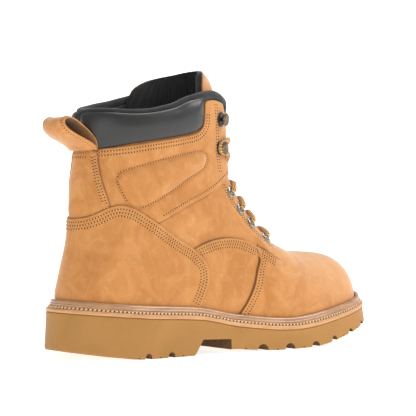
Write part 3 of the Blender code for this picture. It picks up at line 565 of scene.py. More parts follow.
class Shade:
    """A Principled material being built from nodes."""

    def __init__(self, name, roughness, metallic=0.0, **sockets):
        self.material = bpy.data.materials.new(f"look_{name}")
        STUFF[name] = self.material
        self.material.use_nodes = True
        self.tree = self.material.node_tree
        self.shader = self.tree.nodes["Principled BSDF"]
        self.shader.inputs["Roughness"].default_value = roughness
        self.shader.inputs["Metallic"].default_value = metallic
        for socket, value in sockets.items():
            self.shader.inputs[socket.replace("_", " ")].default_value = value
        self.place = self.tree.nodes.new("ShaderNodeTexCoord").outputs["Object"]

    def node(self, kind, inputs=(), **settings):
        made = self.tree.nodes.new(kind)
        for key, value in settings.items():
            setattr(made, key, value)
        for key, value in dict(inputs).items():
            if isinstance(value, bpy.types.NodeSocket):
                self.tree.links.new(value, made.inputs[key])
            else:
                made.inputs[key].default_value = value
        return made

    def noise(self, scale, detail=3.0, rough=0.55, stretch=None, distortion=0.0):
        """Noise from 0 to 1 with features about 1/scale metres wide."""
        place = self.place
        if stretch:
            place = self.node("ShaderNodeVectorMath", {0: place, 1: stretch},
                              operation="MULTIPLY").outputs[0]
        return self.node("ShaderNodeTexNoise", {"Vector": place, "Scale": scale, "Detail": detail,
                                                "Roughness": rough,
                                                "Distortion": distortion}).outputs["Fac"]

    def span(self, value, low, high, to_low=0.0, to_high=1.0):
        """Value remapped and clamped between two ends."""
        return self.node("ShaderNodeMapRange", {"Value": value, "From Min": low,
                                                "From Max": high, "To Min": to_low,
                                                "To Max": to_high}).outputs[0]

    def maths(self, operation, a, b=0.0):
        return self.node("ShaderNodeMath", {0: a, 1: b}, operation=operation).outputs[0]

    def mix(self, share, a, b):
        """Colour between a and b."""
        made = self.tree.nodes.new("ShaderNodeMix")
        made.data_type = "RGBA"
        for index, value in ((0, share), (6, a), (7, b)):
            if isinstance(value, bpy.types.NodeSocket):
                self.tree.links.new(value, made.inputs[index])
            else:
                made.inputs[index].default_value = value if index == 0 else (*value, 1)
        return made.outputs[2]

    def colour(self, value):
        self.tree.links.new(value, self.shader.inputs["Base Color"])

    def rough(self, value):
        self.tree.links.new(value, self.shader.inputs["Roughness"])

    def bump(self, height, depth, strength=1.0):
        """Relief of the given depth in metres."""
        made = self.node("ShaderNodeBump", {"Height": height, "Distance": depth,
                                            "Strength": strength})
        self.tree.links.new(made.outputs[0], self.shader.inputs["Normal"])


def nubuck():
    """Buffed wheat leather: soft clouds, short nap, a painted highlight over the toe, dark cut edges
    deepened with painted shade, and painted shade beside seams.
    """
    m = Shade("nubuck", 0.85, Specular_IOR_Level=0.25, Sheen_Weight=0.85, Sheen_Roughness=0.4,
              Sheen_Tint=(1.0, 0.86, 0.70, 1))
    clouds = m.noise(38, 5.0, 0.62, distortion=0.9)
    strokes = m.noise(75, 4.0, 0.65, (1.0, 1.0, 0.7), 1.6)
    nap = m.noise(900, 2.0, 0.7)
    grain = m.noise(330, 4.0, 0.6)
    tone = m.mix(m.span(clouds, 0.38, 0.62), (0.55, 0.225, 0.062), (0.67, 0.30, 0.094))
    tone = m.mix(m.span(strokes, 0.50, 0.70, 0.0, 0.4), tone, (0.78, 0.43, 0.19))
    tone = m.mix(m.span(nap, 0.3, 0.7, 0.0, 0.32), tone, (0.46, 0.18, 0.045))
    # Painted highlight: paler toward the front and the top of the toe, where the lights fall most.
    spot = m.node("ShaderNodeSeparateXYZ", {0: m.place})
    painted_toe_highlight = m.maths("MULTIPLY", m.span(spot.outputs[0], 0.03, 0.10, 0.0, 0.42),
                   m.span(spot.outputs[2], 0.035, 0.075, 0.2, 1.0))
    tone = m.mix(painted_toe_highlight, tone, (0.88, 0.51, 0.28))
    # Dark mark from the edge attribute: dyed cut edges deepened with painted shade, and painted
    # shade beside overlay edges and along the quilt groove.
    cut = m.node("ShaderNodeAttribute", attribute_name="edge").outputs["Fac"]
    m.colour(m.mix(m.span(cut, 0.1, 0.9, 0.0, 0.9), tone, (0.20, 0.075, 0.02)))
    relief = m.maths("ADD", m.maths("MULTIPLY", nap, 0.4), grain)
    m.bump(m.maths("ADD", relief, m.maths("MULTIPLY", strokes, 1.5)), 0.0004, 0.5)


def suede():
    """Rougher flesh side of the leather, inside the pull loop."""
    m = Shade("suede", 0.95, Specular_IOR_Level=0.15, Sheen_Weight=0.3)
    fuzz = m.noise(700, 3.0, 0.8)
    m.colour(m.mix(fuzz, (0.17, 0.075, 0.025), (0.34, 0.16, 0.06)))
    m.bump(fuzz, 0.0005, 0.8)


def gum_rubber():
    """Moulded gum rubber with faint flow clouds and mould grain."""
    m = Shade("gum_rubber", 0.55, Specular_IOR_Level=0.35)
    clouds = m.noise(22, 3.0, 0.5, distortion=0.8)
    grain = m.noise(800, 2.0, 0.6)
    scuff = m.noise(140, 4.0, 0.6, (1.0, 1.0, 3.0))
    tone = m.mix(m.span(clouds, 0.35, 0.65), (0.385, 0.187, 0.045), (0.45, 0.22, 0.057))
    m.colour(m.mix(m.span(scuff, 0.55, 0.8, 0.0, 0.25), tone, (0.54, 0.29, 0.105)))
    m.rough(m.span(grain, 0.3, 0.7, 0.48, 0.66))
    m.bump(grain, 0.00012, 0.5)


def strip_leather(name, dark, light, roughness, coat):
    """Smooth finished strip leather, streaked along its length."""
    m = Shade(name, roughness, Specular_IOR_Level=0.5, Coat_Weight=coat, Coat_Roughness=0.15)
    streaks = m.noise(160, 3.0, 0.6, (0.35, 0.35, 3.0))
    grain = m.noise(600, 2.0, 0.5)
    m.colour(m.mix(m.span(streaks, 0.35, 0.65), dark, light))
    m.bump(grain, 0.00012, 0.4)


def black_leather():
    """Soft black collar leather with fine pebbled grain."""
    m = Shade("black_leather", 0.40, Specular_IOR_Level=0.45, Coat_Weight=0.35, Coat_Roughness=0.3)
    cells = m.node("ShaderNodeTexVoronoi", {"Vector": m.place, "Scale": 900.0}).outputs[0]
    waves = m.noise(45, 3.0, 0.5)
    m.colour(m.mix(waves, (0.014, 0.0135, 0.013), (0.026, 0.025, 0.024)))
    m.rough(m.span(waves, 0.3, 0.7, 0.34, 0.46))
    m.bump(m.maths("ADD", m.maths("MULTIPLY", cells, 0.6), waves), 0.00022, 0.5)


def lining_mesh(name, dark, light, scale):
    """Knitted fabric: raised cells with dark pores."""
    m = Shade(name, 0.92, Specular_IOR_Level=0.2, Sheen_Weight=0.35, Sheen_Roughness=0.4)
    knit = m.node("ShaderNodeTexVoronoi", {"Vector": m.place, "Scale": scale,
                                           "Randomness": 0.25}).outputs[0]
    pores = m.span(knit, 0.1, 0.55)
    soft = m.noise(60, 2.0, 0.5)
    m.colour(m.mix(m.maths("MULTIPLY", pores, m.span(soft, 0.3, 0.7, 0.7, 1.0)), dark, light))
    m.bump(knit, 0.0006, 0.7)


def lace_cord():
    """Round braid: tan yarn with dark flecks where two diagonals cross."""
    m = Shade("lace_cord", 0.8, Specular_IOR_Level=0.25, Sheen_Weight=0.3)
    split = m.node("ShaderNodeSeparateXYZ",
                   {0: m.node("ShaderNodeUVMap", uv_map="UVMap").outputs[0]})
    along = m.maths("MULTIPLY", split.outputs[0], 2 * pi / 3.6)
    round_it = m.maths("MULTIPLY", split.outputs[1], 8 * pi)
    one = m.maths("SINE", m.maths("ADD", along, round_it))
    two = m.maths("SINE", m.maths("SUBTRACT", along, round_it))
    cross = m.maths("MULTIPLY", one, two)
    yarn = m.mix(m.noise(420, 2.0), (0.68, 0.34, 0.10), (0.95, 0.58, 0.22))
    m.colour(m.mix(m.span(cross, 0.22, 0.42), yarn, (0.03, 0.017, 0.01)))
    m.bump(m.maths("ABSOLUTE", cross), 0.0005, 0.8)


def metal(name, dark, light, roughness):
    """Plated metal with faint tarnish."""
    m = Shade(name, roughness, 1.0)
    tarnish = m.noise(300, 4.0, 0.6)
    m.colour(m.mix(m.span(tarnish, 0.35, 0.7), light, dark))
    m.rough(m.span(tarnish, 0.3, 0.7, roughness * 0.8, roughness * 1.4))


def plain(name, dark, light, roughness, scale, depth):
    """Simple speckled or grained stuff."""
    m = Shade(name, roughness, Specular_IOR_Level=0.35)
    speck = m.noise(scale, 4.0, 0.7)
    m.colour(m.mix(m.span(speck, 0.35, 0.65), dark, light))
    m.bump(speck, depth, 0.6)


def make_materials():
    """Every look the boot uses, kept in STUFF by name."""
    nubuck()
    suede()
    gum_rubber()
    strip_leather("tan_welt", (0.56, 0.27, 0.105), (0.72, 0.39, 0.17), 0.5, 0.1)
    strip_leather("brown_welt", (0.36, 0.175, 0.075), (0.52, 0.28, 0.13), 0.28, 0.6)
    black_leather()
    lining_mesh("lining_mesh", (0.006, 0.006, 0.006), (0.032, 0.031, 0.031), 700.0)
    lining_mesh("binding", (0.010, 0.010, 0.010), (0.045, 0.044, 0.044), 1000.0)
    lining_mesh("footbed_fabric", (0.008, 0.008, 0.008), (0.05, 0.05, 0.05), 500.0)
    lace_cord()
    metal("eyelet_steel", (0.16, 0.16, 0.165), (0.42, 0.42, 0.43), 0.25)
    metal("hook_bronze", (0.07, 0.045, 0.028), (0.26, 0.18, 0.11), 0.25)
    metal("steel", (0.35, 0.35, 0.36), (0.62, 0.62, 0.63), 0.35)
    plain("hook_plate_black", (0.012, 0.012, 0.012), (0.03, 0.03, 0.03), 0.35, 400, 0.00005)
    plain("thread", (0.62, 0.30, 0.10), (0.86, 0.50, 0.21), 0.6, 1500, 0.0001)
    plain("welt_thread", (0.70, 0.48, 0.28), (0.95, 0.78, 0.58), 0.6, 1500, 0.0002)
    # Painted shade: dark pits standing in for the shade inside needle holes.
    plain("needle_hole_shade", (0.045, 0.018, 0.006), (0.075, 0.030, 0.010), 0.95, 900, 0.0001)
    # Painted shade: dark rubber for the faces cut into the sole, standing in for the shade inside
    # the arch, channels, ticks and grooves.
    plain("rubber_recess_shade", (0.10, 0.048, 0.016), (0.17, 0.085, 0.03), 0.8, 300, 0.0001)
    plain("foam", (0.66, 0.60, 0.48), (0.78, 0.73, 0.62), 0.9, 500, 0.0004)
    plain("cork", (0.30, 0.17, 0.08), (0.52, 0.34, 0.19), 0.9, 350, 0.0004)
    plain("board", (0.50, 0.40, 0.27), (0.62, 0.52, 0.38), 0.9, 250, 0.0002)
    plain("counter_board", (0.50, 0.40, 0.27), (0.62, 0.52, 0.38), 0.8, 250, 0.0002)


KEPT = {"midsole": "foam", "shank": "steel", "cork_filler": "cork", "insole_board": "board",
        "steel_toe_cap": "steel", "heel_counter": "counter_board", "vamp_lining": "lining_mesh"}


# ---- upper ------------------------------------------------------------------------------------
LATERAL_TOP_S = [-170, -150, -130, -82, -42, -28, -14, -6]
LATERAL_TOP_Z = [193, 193, 192, 197, 207, 209.5, 207, 200]
MEDIAL_TOP_Z = [193, 195, 198, 205, 210, 210.5, 207, 200]
ROLL_R = 4.0             # radius of the soft roll along the top line
EYESTAY = [(-7, 193), (-5.0, 180), (-5.5, 165), (-4, 150), (1.5, 137), (9, 126), (19, 114.5),
           (29, 104.5), (40, 95.5), (49, 88)]
TIP_END = [(49, 88), (47, 80), (42.5, 75.2), (38, 73.5), (34, 74.5)]
TIP_LOW = [(34, 74.5), (27, 78.6), (20.5, 82.6), (14.5, 86)]
VAMP_SEAM = [(13.5, 75), (10, 66), (6.5, 54), (0, 41), (-8, 30)]
VAMP_CORNER = (12.6, 83.0)
MIDFOOT_TOP = [(-51, 84), (-40, 88.5), (-28, 91.5), (-15, 92.5), (-2, 91), (10, 86.5)]
FOXING_FRONT = [(-46, 81), (-39.5, 73), (-37, 64), (-37.5, 56), (-42, 45), (-48, 34)]
FOXING_TOP = [(-170, 109), (-160, 110), (-153, 113), (-146, 117.5), (-138, 119.5), (-128, 117),
              (-116, 111), (-101, 104), (-76, 94), (-51, 84)]
BACKSTAY_EDGE = [(-154.5, 163), (-150.5, 140), (-145, 119), (-142, 108)]
SHAFT_LOW = [(-112, 101), (-102, 105.5), (-78, 112.5), (-56, 119), (-32, 129), (-15, 138.5),
             (-5, 144)]
COLLAR_LOW = [(-157, 163), (-133, 166), (-95, 171), (-60, 174.5), (-49, 177), (-42.5, 181),
              (-40, 187), (-40, 201)]
QUILT = [(-141, 139.5), (-138, 145.5), (-122, 150.5), (-86, 157), (-50, 162), (-40, 162.5),
         (-35, 158), (-39, 149), (-56, 140), (-84, 130), (-112, 120.5), (-124, 117.5),
         (-130.5, 118.5), (-134.5, 124), (-139, 133.5)]


def shifted(points, ds, dz):
    """Side-view places moved along and up."""
    return [(s + ds, z + dz) for s, z in points]


def crest(side, start, end, below):
    """Run along one side's top line."""
    s = np.linspace(start, end, max(3, int(abs(end - start) / 4)))
    top = ramp(s, LATERAL_TOP_S, LATERAL_TOP_Z if side == LATERAL else MEDIAL_TOP_Z)
    return spaced(flat(np.column_stack([s, top - below]), side), 2.5)


def hem(side, start, end, below=1.2):
    """Run along the bottom edge of the upper, behind the storm welt."""
    s = np.linspace(start, end, max(3, int(abs(end - start) / 4)))
    x = wall(wall_t(s, side), np.full(len(s), 38.0))[:, 0]
    return spaced(flat(np.column_stack([s, feather_z(x) - below]), side), 3.0)


def both_sides(points):
    """Run from the lateral side round the back to the medial side; the first point is the seam."""
    return np.concatenate([flat(points, LATERAL)[::-1], flat(points[1:], MEDIAL)])


FOXING_EDGE = curve(both_sides(FOXING_TOP + FOXING_FRONT[1:]))
FOXING_RING = loop_of([FOXING_EDGE, np.concatenate([hem(MEDIAL, -51, -169),
                                                    hem(LATERAL, -169, -51)])])
MIDFOOT_EDGE = {side: curve(flat([(-57, 80.5)] + MIDFOOT_TOP + [(14.5, 84.3)], side))
                for side in (LATERAL, MEDIAL)}
SEAM_EDGE = {side: curve(flat([VAMP_CORNER] + VAMP_SEAM + [(-11, 24)], side))
             for side in (LATERAL, MEDIAL)}
SHAFT_EDGE = {side: curve(flat(SHAFT_LOW, side)) for side in (LATERAL, MEDIAL)}
STAY_EDGE = {side: curve(flat(EYESTAY, side)) for side in (LATERAL, MEDIAL)}
TIP_EDGE = {side: curve(flat(TIP_LOW, side)) for side in (LATERAL, MEDIAL)}
COLLAR_EDGE = {side: curve(flat(COLLAR_LOW, side)) for side in (LATERAL, MEDIAL)}
BACK_EDGE = {side: curve(flat(BACKSTAY_EDGE, side)) for side in (LATERAL, MEDIAL)}
QUILT_RING = {side: even(curve(flat(QUILT + QUILT[:1], side), 1.0), 170)
              for side in (LATERAL, MEDIAL)}


def of_side(edges, q):
    """Distance of each chart point to the edge of its own side."""
    return np.where(q[:, 0] < 0, gap_to(q, edges[LATERAL]), gap_to(q, edges[MEDIAL]))


def quarter_height(q):
    """Base leather: it climbs over the vamp at its front tip."""
    front = ease((side_s(q) - 13) / 7)
    climb = 2.3 * front * ease(1.1 - of_side(TIP_EDGE, q) / 13)
    dip = 0.25 * ease(1 - np.minimum(of_side(SHAFT_EDGE, q), of_side(MIDFOOT_EDGE, q)) / 10)
    return -1.6 + climb - dip * (1 - front)


def midfoot_height(q):
    """Side overlay: raised along its top, dipping under the foxing and the vamp."""
    dip = np.maximum(near(q, FOXING_EDGE, 11), 0.9 * ease(1 - of_side(SEAM_EDGE, q) / 9))
    return 0.35 * ease(1 - of_side(MIDFOOT_EDGE, q) / 9) - 1.1 * dip


def foxing_height(q):
    """Heel overlay: raised edge, and fuller round the back over the heel counter."""
    full = ease(1 - np.abs(q[:, 0]) / 70) * ease((96 - q[:, 1]) / 26) * ease((q[:, 1] - 40) / 12)
    return 0.45 * near(q, FOXING_EDGE, 12) + 2.0 * full


def backstay_height(q):
    """Raised along its own edges and dipped under the foxing."""
    dip = np.where(within(q, FOXING_RING), 1, near(q, FOXING_EDGE, 8))
    return 0.75 * ease(1 - of_side(BACK_EDGE, q) / 7) * (1 - dip) - 1.0 * dip


def shaft_height(q):
    """Ankle overlay with its stitched, padded field."""
    ring = QUILT_RING[LATERAL if q[0, 0] < 0 else MEDIAL]
    inside = within(q, ring)
    gap = gap_to(q, ring, True)
    pillow = np.where(inside, 2.6 * ease(gap / 10) + 0.9 * ease(gap / 3), 0.5 * ease(gap / 4))
    groove = -0.9 * ease(1 - gap / 2.4)
    dip = np.maximum(near(q, FOXING_EDGE, 9), ease(1 - of_side(BACK_EDGE, q) / 7))
    dip = np.where(within(q, FOXING_RING), 1, dip)
    edge = 0.3 * ease(1 - of_side(SHAFT_EDGE, q) / 7)
    return pillow + groove + edge - 1.2 * dip


def collar_height(q):
    """Puffed band: full in the middle, tucked in along its borders."""
    gap = gap_to(q, COLLAR_RING[LATERAL if q[0, 0] < 0 else MEDIAL], True)
    wave = np.sin(q[:, 0] / 23.0 + 1.0) * np.sin(q[:, 1] / 9.0)
    return -0.9 + 5.0 * np.sqrt(np.clip(1 - (1 - np.minimum(gap / 15, 1))**2, 0, 1)) + 0.2 * wave


def quarter(side, word):
    """Base leather of one side, from the back seam to the tip over the vamp."""
    back = side * 0.3
    inner_front = flat([(14.5, 80), (11, 73), (8, 64), (4, 52), (-3, 40), (-9, 30)], side)
    runs = [STAY_EDGE[side], curve(flat(TIP_END, side), 1.2), TIP_EDGE[side],
            spaced(inner_front, 2.5), hem(side, -12, -165),
            spaced(np.array([(back, 42.0), (back, 186.0)]), 4.0),
            crest(side, -164, -13, ROLL_R + 1.0)]
    ring = loop_of(runs)

    def thick(q):
        return 1.5 + 2.3 * near(q, STAY_EDGE[side], 12)

    name = f"quarter_{word}_leather"
    # Painted shade beside the shaft panel's and the midfoot panel's edges.
    seam_shade_lines = [(SHAFT_EDGE[side], 0.8), (MIDFOOT_EDGE[side], 0.8)]
    item = leather(name, ring, quarter_height, thick, cell=3.0, seam_shade_lines=seam_shade_lines)
    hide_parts(f"quarter_{word}")
    return item


def punch(item, side):
    """Cut the eyelet holes through a piece."""
    for i, place in enumerate(EYELETS):
        point, out = seat(place, side)
        bar = turned(f"punch_{item.name}_{i}", [(0, -12), (3.2, -12), (3.2, 6), (0, 6)], point,
                     out, "nubuck", 20)
        change = item.modifiers.new("hole", "BOOLEAN")
        change.solver = "EXACT"
        change.object = bar
        apply_modifiers(item)
        bpy.data.objects.remove(bar)


def apply_modifiers(item):
    """Turn a piece's modifiers into its mesh."""
    bpy.context.view_layer.update()
    shape = item.evaluated_get(bpy.context.evaluated_depsgraph_get())
    mesh = bpy.data.meshes.new_from_object(shape)
    item.modifiers.clear()
    item.data = mesh


def midfoot_panel(side, word):
    """Side overlay between the heel foxing and the vamp."""
    front = curve(flat([(17, 83), (17.5, 76), (15, 66), (11.5, 54), (5, 41), (-3, 26)], side))
    rear = curve(flat(shifted(FOXING_FRONT[::-1], -5, 0), side))
    ring = loop_of([MIDFOOT_EDGE[side], front, hem(side, -6, -50), rear])
    # Painted shade beside the foxing's edge and the vamp seam.
    seam_shade_lines = [(FOXING_EDGE, 0.8), (SEAM_EDGE[side], 1.0)]
    item = leather(f"midfoot_panel_{word}_leather", ring, midfoot_height, seam_shade_lines=seam_shade_lines)
    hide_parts(f"midfoot_panel_{word}")


def heel_foxing():
    """One overlay round the heel."""
    item = leather("heel_foxing_leather", FOXING_RING, foxing_height)
    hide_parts("heel_foxing")


def backstay():
    """Strip up the back seam, over the shaft panels and under the foxing."""
    low = curve(both_sides(shifted(FOXING_TOP[:4], 0, -5)))
    top = np.array([(-12.0, 165.0), (12.0, 165.0)])
    ring = loop_of([BACK_EDGE[MEDIAL], low[::-1], BACK_EDGE[LATERAL][::-1], spaced(top, 2.5)])
    # Painted shade beside the foxing's edge.
    item = leather("backstay_leather", ring, backstay_height, seam_shade_lines=[(FOXING_EDGE, 0.8)])
    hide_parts("backstay")


def shaft_panel(side, word):
    """Quilted ankle overlay of one side."""
    rear = curve(flat([(-126, 101), (-144, 105), (-155, 111), (-160, 140), (-162, 162)], side))
    ring = loop_of([SHAFT_EDGE[side], curve(flat(EYESTAY[:4][::-1], side)),
                    crest(side, -13, -39, ROLL_R + 1.0), COLLAR_EDGE[side][::-1], rear[::-1]])
    quilt = QUILT_RING[side]
    # Painted shade beside the foxing, backstay and collar edges, and lighter painted shade along the
    # quilt groove.
    seam_shade_lines = [(FOXING_EDGE, 0.8), (BACK_EDGE[side], 0.8), (np.concatenate([quilt, quilt[:1]]), 0.45),
             (COLLAR_EDGE[side], 0.8)]
    item = leather(f"shaft_panel_{word}_leather", ring, shaft_height, cell=2.6, seam_shade_lines=seam_shade_lines)
    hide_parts(f"shaft_panel_{word}")


def collar_ring(side):
    """Closed outline of one collar band in the wall chart."""
    back = side * 0.3
    low = curve(flat([(-157, 162.4)] + shifted(COLLAR_LOW[1:], -0.6, 0.7), side))
    return loop_of([np.array([(back, 161.8)]), low, crest(side, -40, -165, 0.9),
                    spaced(np.array([(back, 192.0), (back, 164.0)]), 3.0)])


def top_level(q):
    """Level of the top line above chart points."""
    s = side_s(q)
    return np.where(q[:, 0] < 0, ramp(s, LATERAL_TOP_S, LATERAL_TOP_Z),
                    ramp(s, LATERAL_TOP_S, MEDIAL_TOP_Z))


COLLAR_RING = {side: collar_ring(side) for side in (LATERAL, MEDIAL)}


def collar_pad(side, word):
    """Padded black band of one side."""
    def thick(q):
        return collar_height(q) + 1.3 + 1.3 * ease((top_level(q) - q[:, 1] - 3) / 5)

    item = leather(f"collar_pad_{word}_soft", COLLAR_RING[side], collar_height, thick,
                   "black_leather", 2.6, 0.8)
    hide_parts(f"collar_pad_{word}")


SEAM_ANGLES = np.array([0, 12, 16, 24, 27, 29, 31, 32.5])
THROAT_START = np.array([58, 55, 49, 42, 38, 32, 24, 15.5])


def vamp_starts(angles):
    """Rear edge of the forepart leather at each section angle of one side."""
    s, z = np.array([VAMP_CORNER] + VAMP_SEAM, float).T
    p = wall(wall_t(s, LATERAL), z)
    lean = np.degrees(np.arctan2(np.abs(p[:, 1] - centre_y(s)), z - feather_z(s)))
    return ramp(angles, np.concatenate([SEAM_ANGLES, lean + [1.6, 0, 0, 0, 0, 0]]),
                np.concatenate([THROAT_START, s - [1.5, 0, 0, 0, 0, 0]]))


def forepart_sheet(start, degrees, rows, turns):
    """Fine grid over the forepart, with close rows just inside its rear edge."""
    angles = np.radians(degrees)
    lead = np.array([0, 0.1, 0.36, 0.8, 1.6])[:, None]
    share = np.linspace(0, 1, rows)[1:, None]
    x = np.concatenate([start + lead, start + 1.6 + (TOE_FAN_X - start - 1.6) * share])
    origin, direction = rays(x, centre_y(x), feather_z(x), 0, np.sin(angles), np.cos(angles))
    body = cast(origin, direction)
    tilt = np.arctan2(feather_z(TOE_X) - feather_z(TOE_FAN_X), TOE_X - TOE_FAN_X)
    turn = np.linspace(0, pi / 2, turns)[1:, None]
    ahead = np.sin(turn) * np.cos(tilt)
    up = np.cos(turn) + np.sin(turn) * np.sin(tilt)
    origin, direction = rays(TOE_FAN_X, centre_y(TOE_FAN_X), feather_z(TOE_FAN_X),
                             np.cos(angles) * ahead, np.sin(angles) * (1 + 0 * turn),
                             np.cos(angles) * up)
    behind_seam = np.concatenate([x - start, 60 + 0 * turn + 0 * x[:1]])
    return np.concatenate([body, cast(origin, direction)]), behind_seam


def vamp():
    """Forepart leather over the toe cap, its rear edge standing over the side panels."""
    degrees = np.concatenate([-np.linspace(91.5, 0, 76)[:-1], np.linspace(0, 91.5, 76)])
    start = vamp_starts(np.abs(degrees))
    base, behind = forepart_sheet(start, degrees, 40, 44)
    out = normals(base)
    soft = 0.8
    fall = soft - np.sqrt(np.maximum(soft**2 - np.maximum(soft - behind, 0)**2, 0))
    seam = ease((np.abs(degrees) - 37) / 3) * ease(1 - behind / 9)
    under = 1.3 * ease((39.5 - np.abs(degrees)) / 3) * ease(1 - behind / 12)
    cap_x = 84 + 10 * np.cos(np.radians(degrees))
    ridge = 0.35 * ease(1 - np.abs(base[..., 0] - cap_x) / 5) * np.cos(np.radians(degrees))**2
    height = 0.8 * seam - under + ridge - 0.8 * fall
    upper = base + out * height[..., None]
    lower = base + out * (height - 1.5)[..., None]
    item = shell("vamp_leather", upper, lower, "nubuck", edge=np.clip(1.2 - behind / 0.5, 0, 1))
    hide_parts("vamp")


def shaft_lining():
    """Mesh lining round the ankle, softly padded below the top line."""
    rim = [np.array([(0.0, 40.2)])]
    for side in (MEDIAL, LATERAL):
        half = np.concatenate([
            hem(side, -166, -14, 0.8),
            spaced(flat([(-2, 41), (3, 54), (7, 66), (12, 78), (22, 82), (34, 82), (38, 93)],
                        side), 3.0),
            curve(flat(shifted(EYESTAY[::-1][1:], -1.2, -0.5), side), 2.5)[1:],
            crest(side, -14, -165, ROLL_R + 0.4)])
        rim.append(half if side == MEDIAL else half[::-1])
        if side == MEDIAL:
            rim.append(np.array([(0.0, 188.6)]))

    def height(q):
        return -5.0 + 0 * q[:, 0]

    def thick(q):
        pad = ease((q[:, 1] - 148) / 26) * ease((-22 - side_s(q)) / 22)
        return 2.2 + 2.6 * pad + 0.3 * np.sin(q[:, 0] / 9) * pad

    item = leather("shaft_lining_mesh", loop_of(rim), height, thick, "lining_mesh", 3.4)
    for side in (LATERAL, MEDIAL):
        punch(item, side)
    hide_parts("shaft_lining")


def collar_roll():
    """Soft mesh binding over the top line, running down both eyestay edges."""
    half = {}
    for side in (LATERAL, MEDIAL):
        s = np.linspace(-163, -14, 26)
        top = ramp(s, LATERAL_TOP_S, LATERAL_TOP_Z if side == LATERAL else MEDIAL_TOP_Z)
        line = list(zip(wall_t(s, side), top - 1.0))
        line += [(float(wall_t(a, side)), z) for a, z in ((-4.2, 203), (0.6, 196), (1.6, 187))]
        half[side] = line
    run = half[LATERAL][::-1] + [(0.0, 192.0)] + half[MEDIAL]
    t, z = np.array(run).T
    depth = -3.6 - 1.3 * ease((-44 - (np.abs(t) + BACK_S)) / 14)
    path = spaced(smooth_path(lift(wall(t, z), depth), 4), 2.2)
    from_end = np.minimum(np.arange(len(path)), np.arange(len(path))[::-1]) * 2.2
    radius = 2.2 + (ROLL_R - 2.2) * ease(from_end / 26) - 0.5 * ease((from_end - 56) / 14)
    radius += 0.12 * np.sin(np.arange(len(path)) / 2.1)
    item = tube("collar_roll_binding", path, radius, "binding", 18)
    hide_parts("collar_roll")


# ---- tongue and pull loop -----------------------------------------------------------------------
def tongue_depth(level, angle):
    """How far the tongue lies under the form: deep under the laces, leaning back at the top."""
    deep = ramp(level, [0, 1, 4.6, 6, 8], [-9.8, -16.5, -16.0, -10.2, -9.0])
    lean = ramp(level, [6.4, 7.0, 7.36, 7.66, 8], [0, 1, 2.5, 7.0, 20.0])
    lean = np.where(level > 6.4, lean, 0) * np.clip(np.cos(angle * 0.8), 0, 1)
    return deep - lean - 3.0 * np.clip(angle - 1.65, 0, 1)


def tongue():
    """Leather face and padded mesh back, wide at the top and wrapping the ankle."""
    rows, columns = 80, 91
    share = np.sin(np.linspace(-1, 1, columns) * pi / 2)[None, :]
    climb = np.linspace(0, 1, rows)[:, None]
    crest_level = np.where(share < 0, 7.85 - 0.08 * share**2 - 0.3 * share**14,
                           7.85 - 0.3 * share**2 - 0.24 * share**8 - 0.36 * share**12)
    level = 0.25 + (crest_level - 0.25) * climb
    left = ramp(level, [0, 3, 4.5, 6, 8], [38, 44, 62, 84, 90])
    right = ramp(level, [0, 3, 4.5, 6, 8], [38, 44, 66, 124, 157])
    angle = np.radians(np.where(share < 0, share * left, share * right))
    border = np.minimum(np.minimum(1 - np.abs(share), 1 - climb) * 26, 4) / 4
    round_off = 1 - np.sqrt(np.clip(1 - (1 - border)**2, 0, 1))
    high = ease((level - 4.2) / 1.6)
    channel = 1.1 * np.exp(-((np.abs(angle) - 0.62) / 0.07)**2) * high
    waves = 0.35 * np.sin(level * 5.0 + 2.0 * angle) * high
    face = tongue_depth(level, angle)
    near_edge = 3.5 * np.exp(-((share + 0.92) / 0.1)**2) * high
    back = face - 6.9 - 0.5 * high - near_edge + channel + waves + 3.6 * round_off
    tucked = angle - 0.07 * ease((share - 0.88) / 0.12) * high
    sheets = [dorsal(level, tucked, face - 0.5 * round_off), dorsal(level, tucked, face - 1.3),
              dorsal(level, angle, face - 1.5 - 0.2 * round_off), dorsal(level, angle, back)]
    edge = np.clip(1 - border * 6, 0, 1)
    outside = shell("tongue_leather_face", sheets[0], sheets[1], "nubuck", "tongue", edge)
    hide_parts("tongue_leather")
    pad = shell("tongue_pad_mesh", sheets[2], sheets[3], "lining_mesh", "tongue")
    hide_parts("tongue_pad")


LOOP_SHAPE = [(-139.6, 162.5), (-139.8, 171), (-142.5, 179), (-148.5, 185.6), (-156, 188.4),
              (-161, 186.5), (-163, 182.5), (-162, 177.5), (-157.5, 173), (-151, 169.6),
              (-145, 166.3), (-141.0, 163)]


def loop_bend(y, z):
    """How far the strap curls round the heel at its base, flattening toward its top."""
    return (y / 14)**2 * (1.5 + 3.3 * ease((188 - z) / 24))


def loop_half(z):
    """Half width of the strap, which spreads toward its base."""
    return 14 + 4.8 * ease((188 - z) / 18)


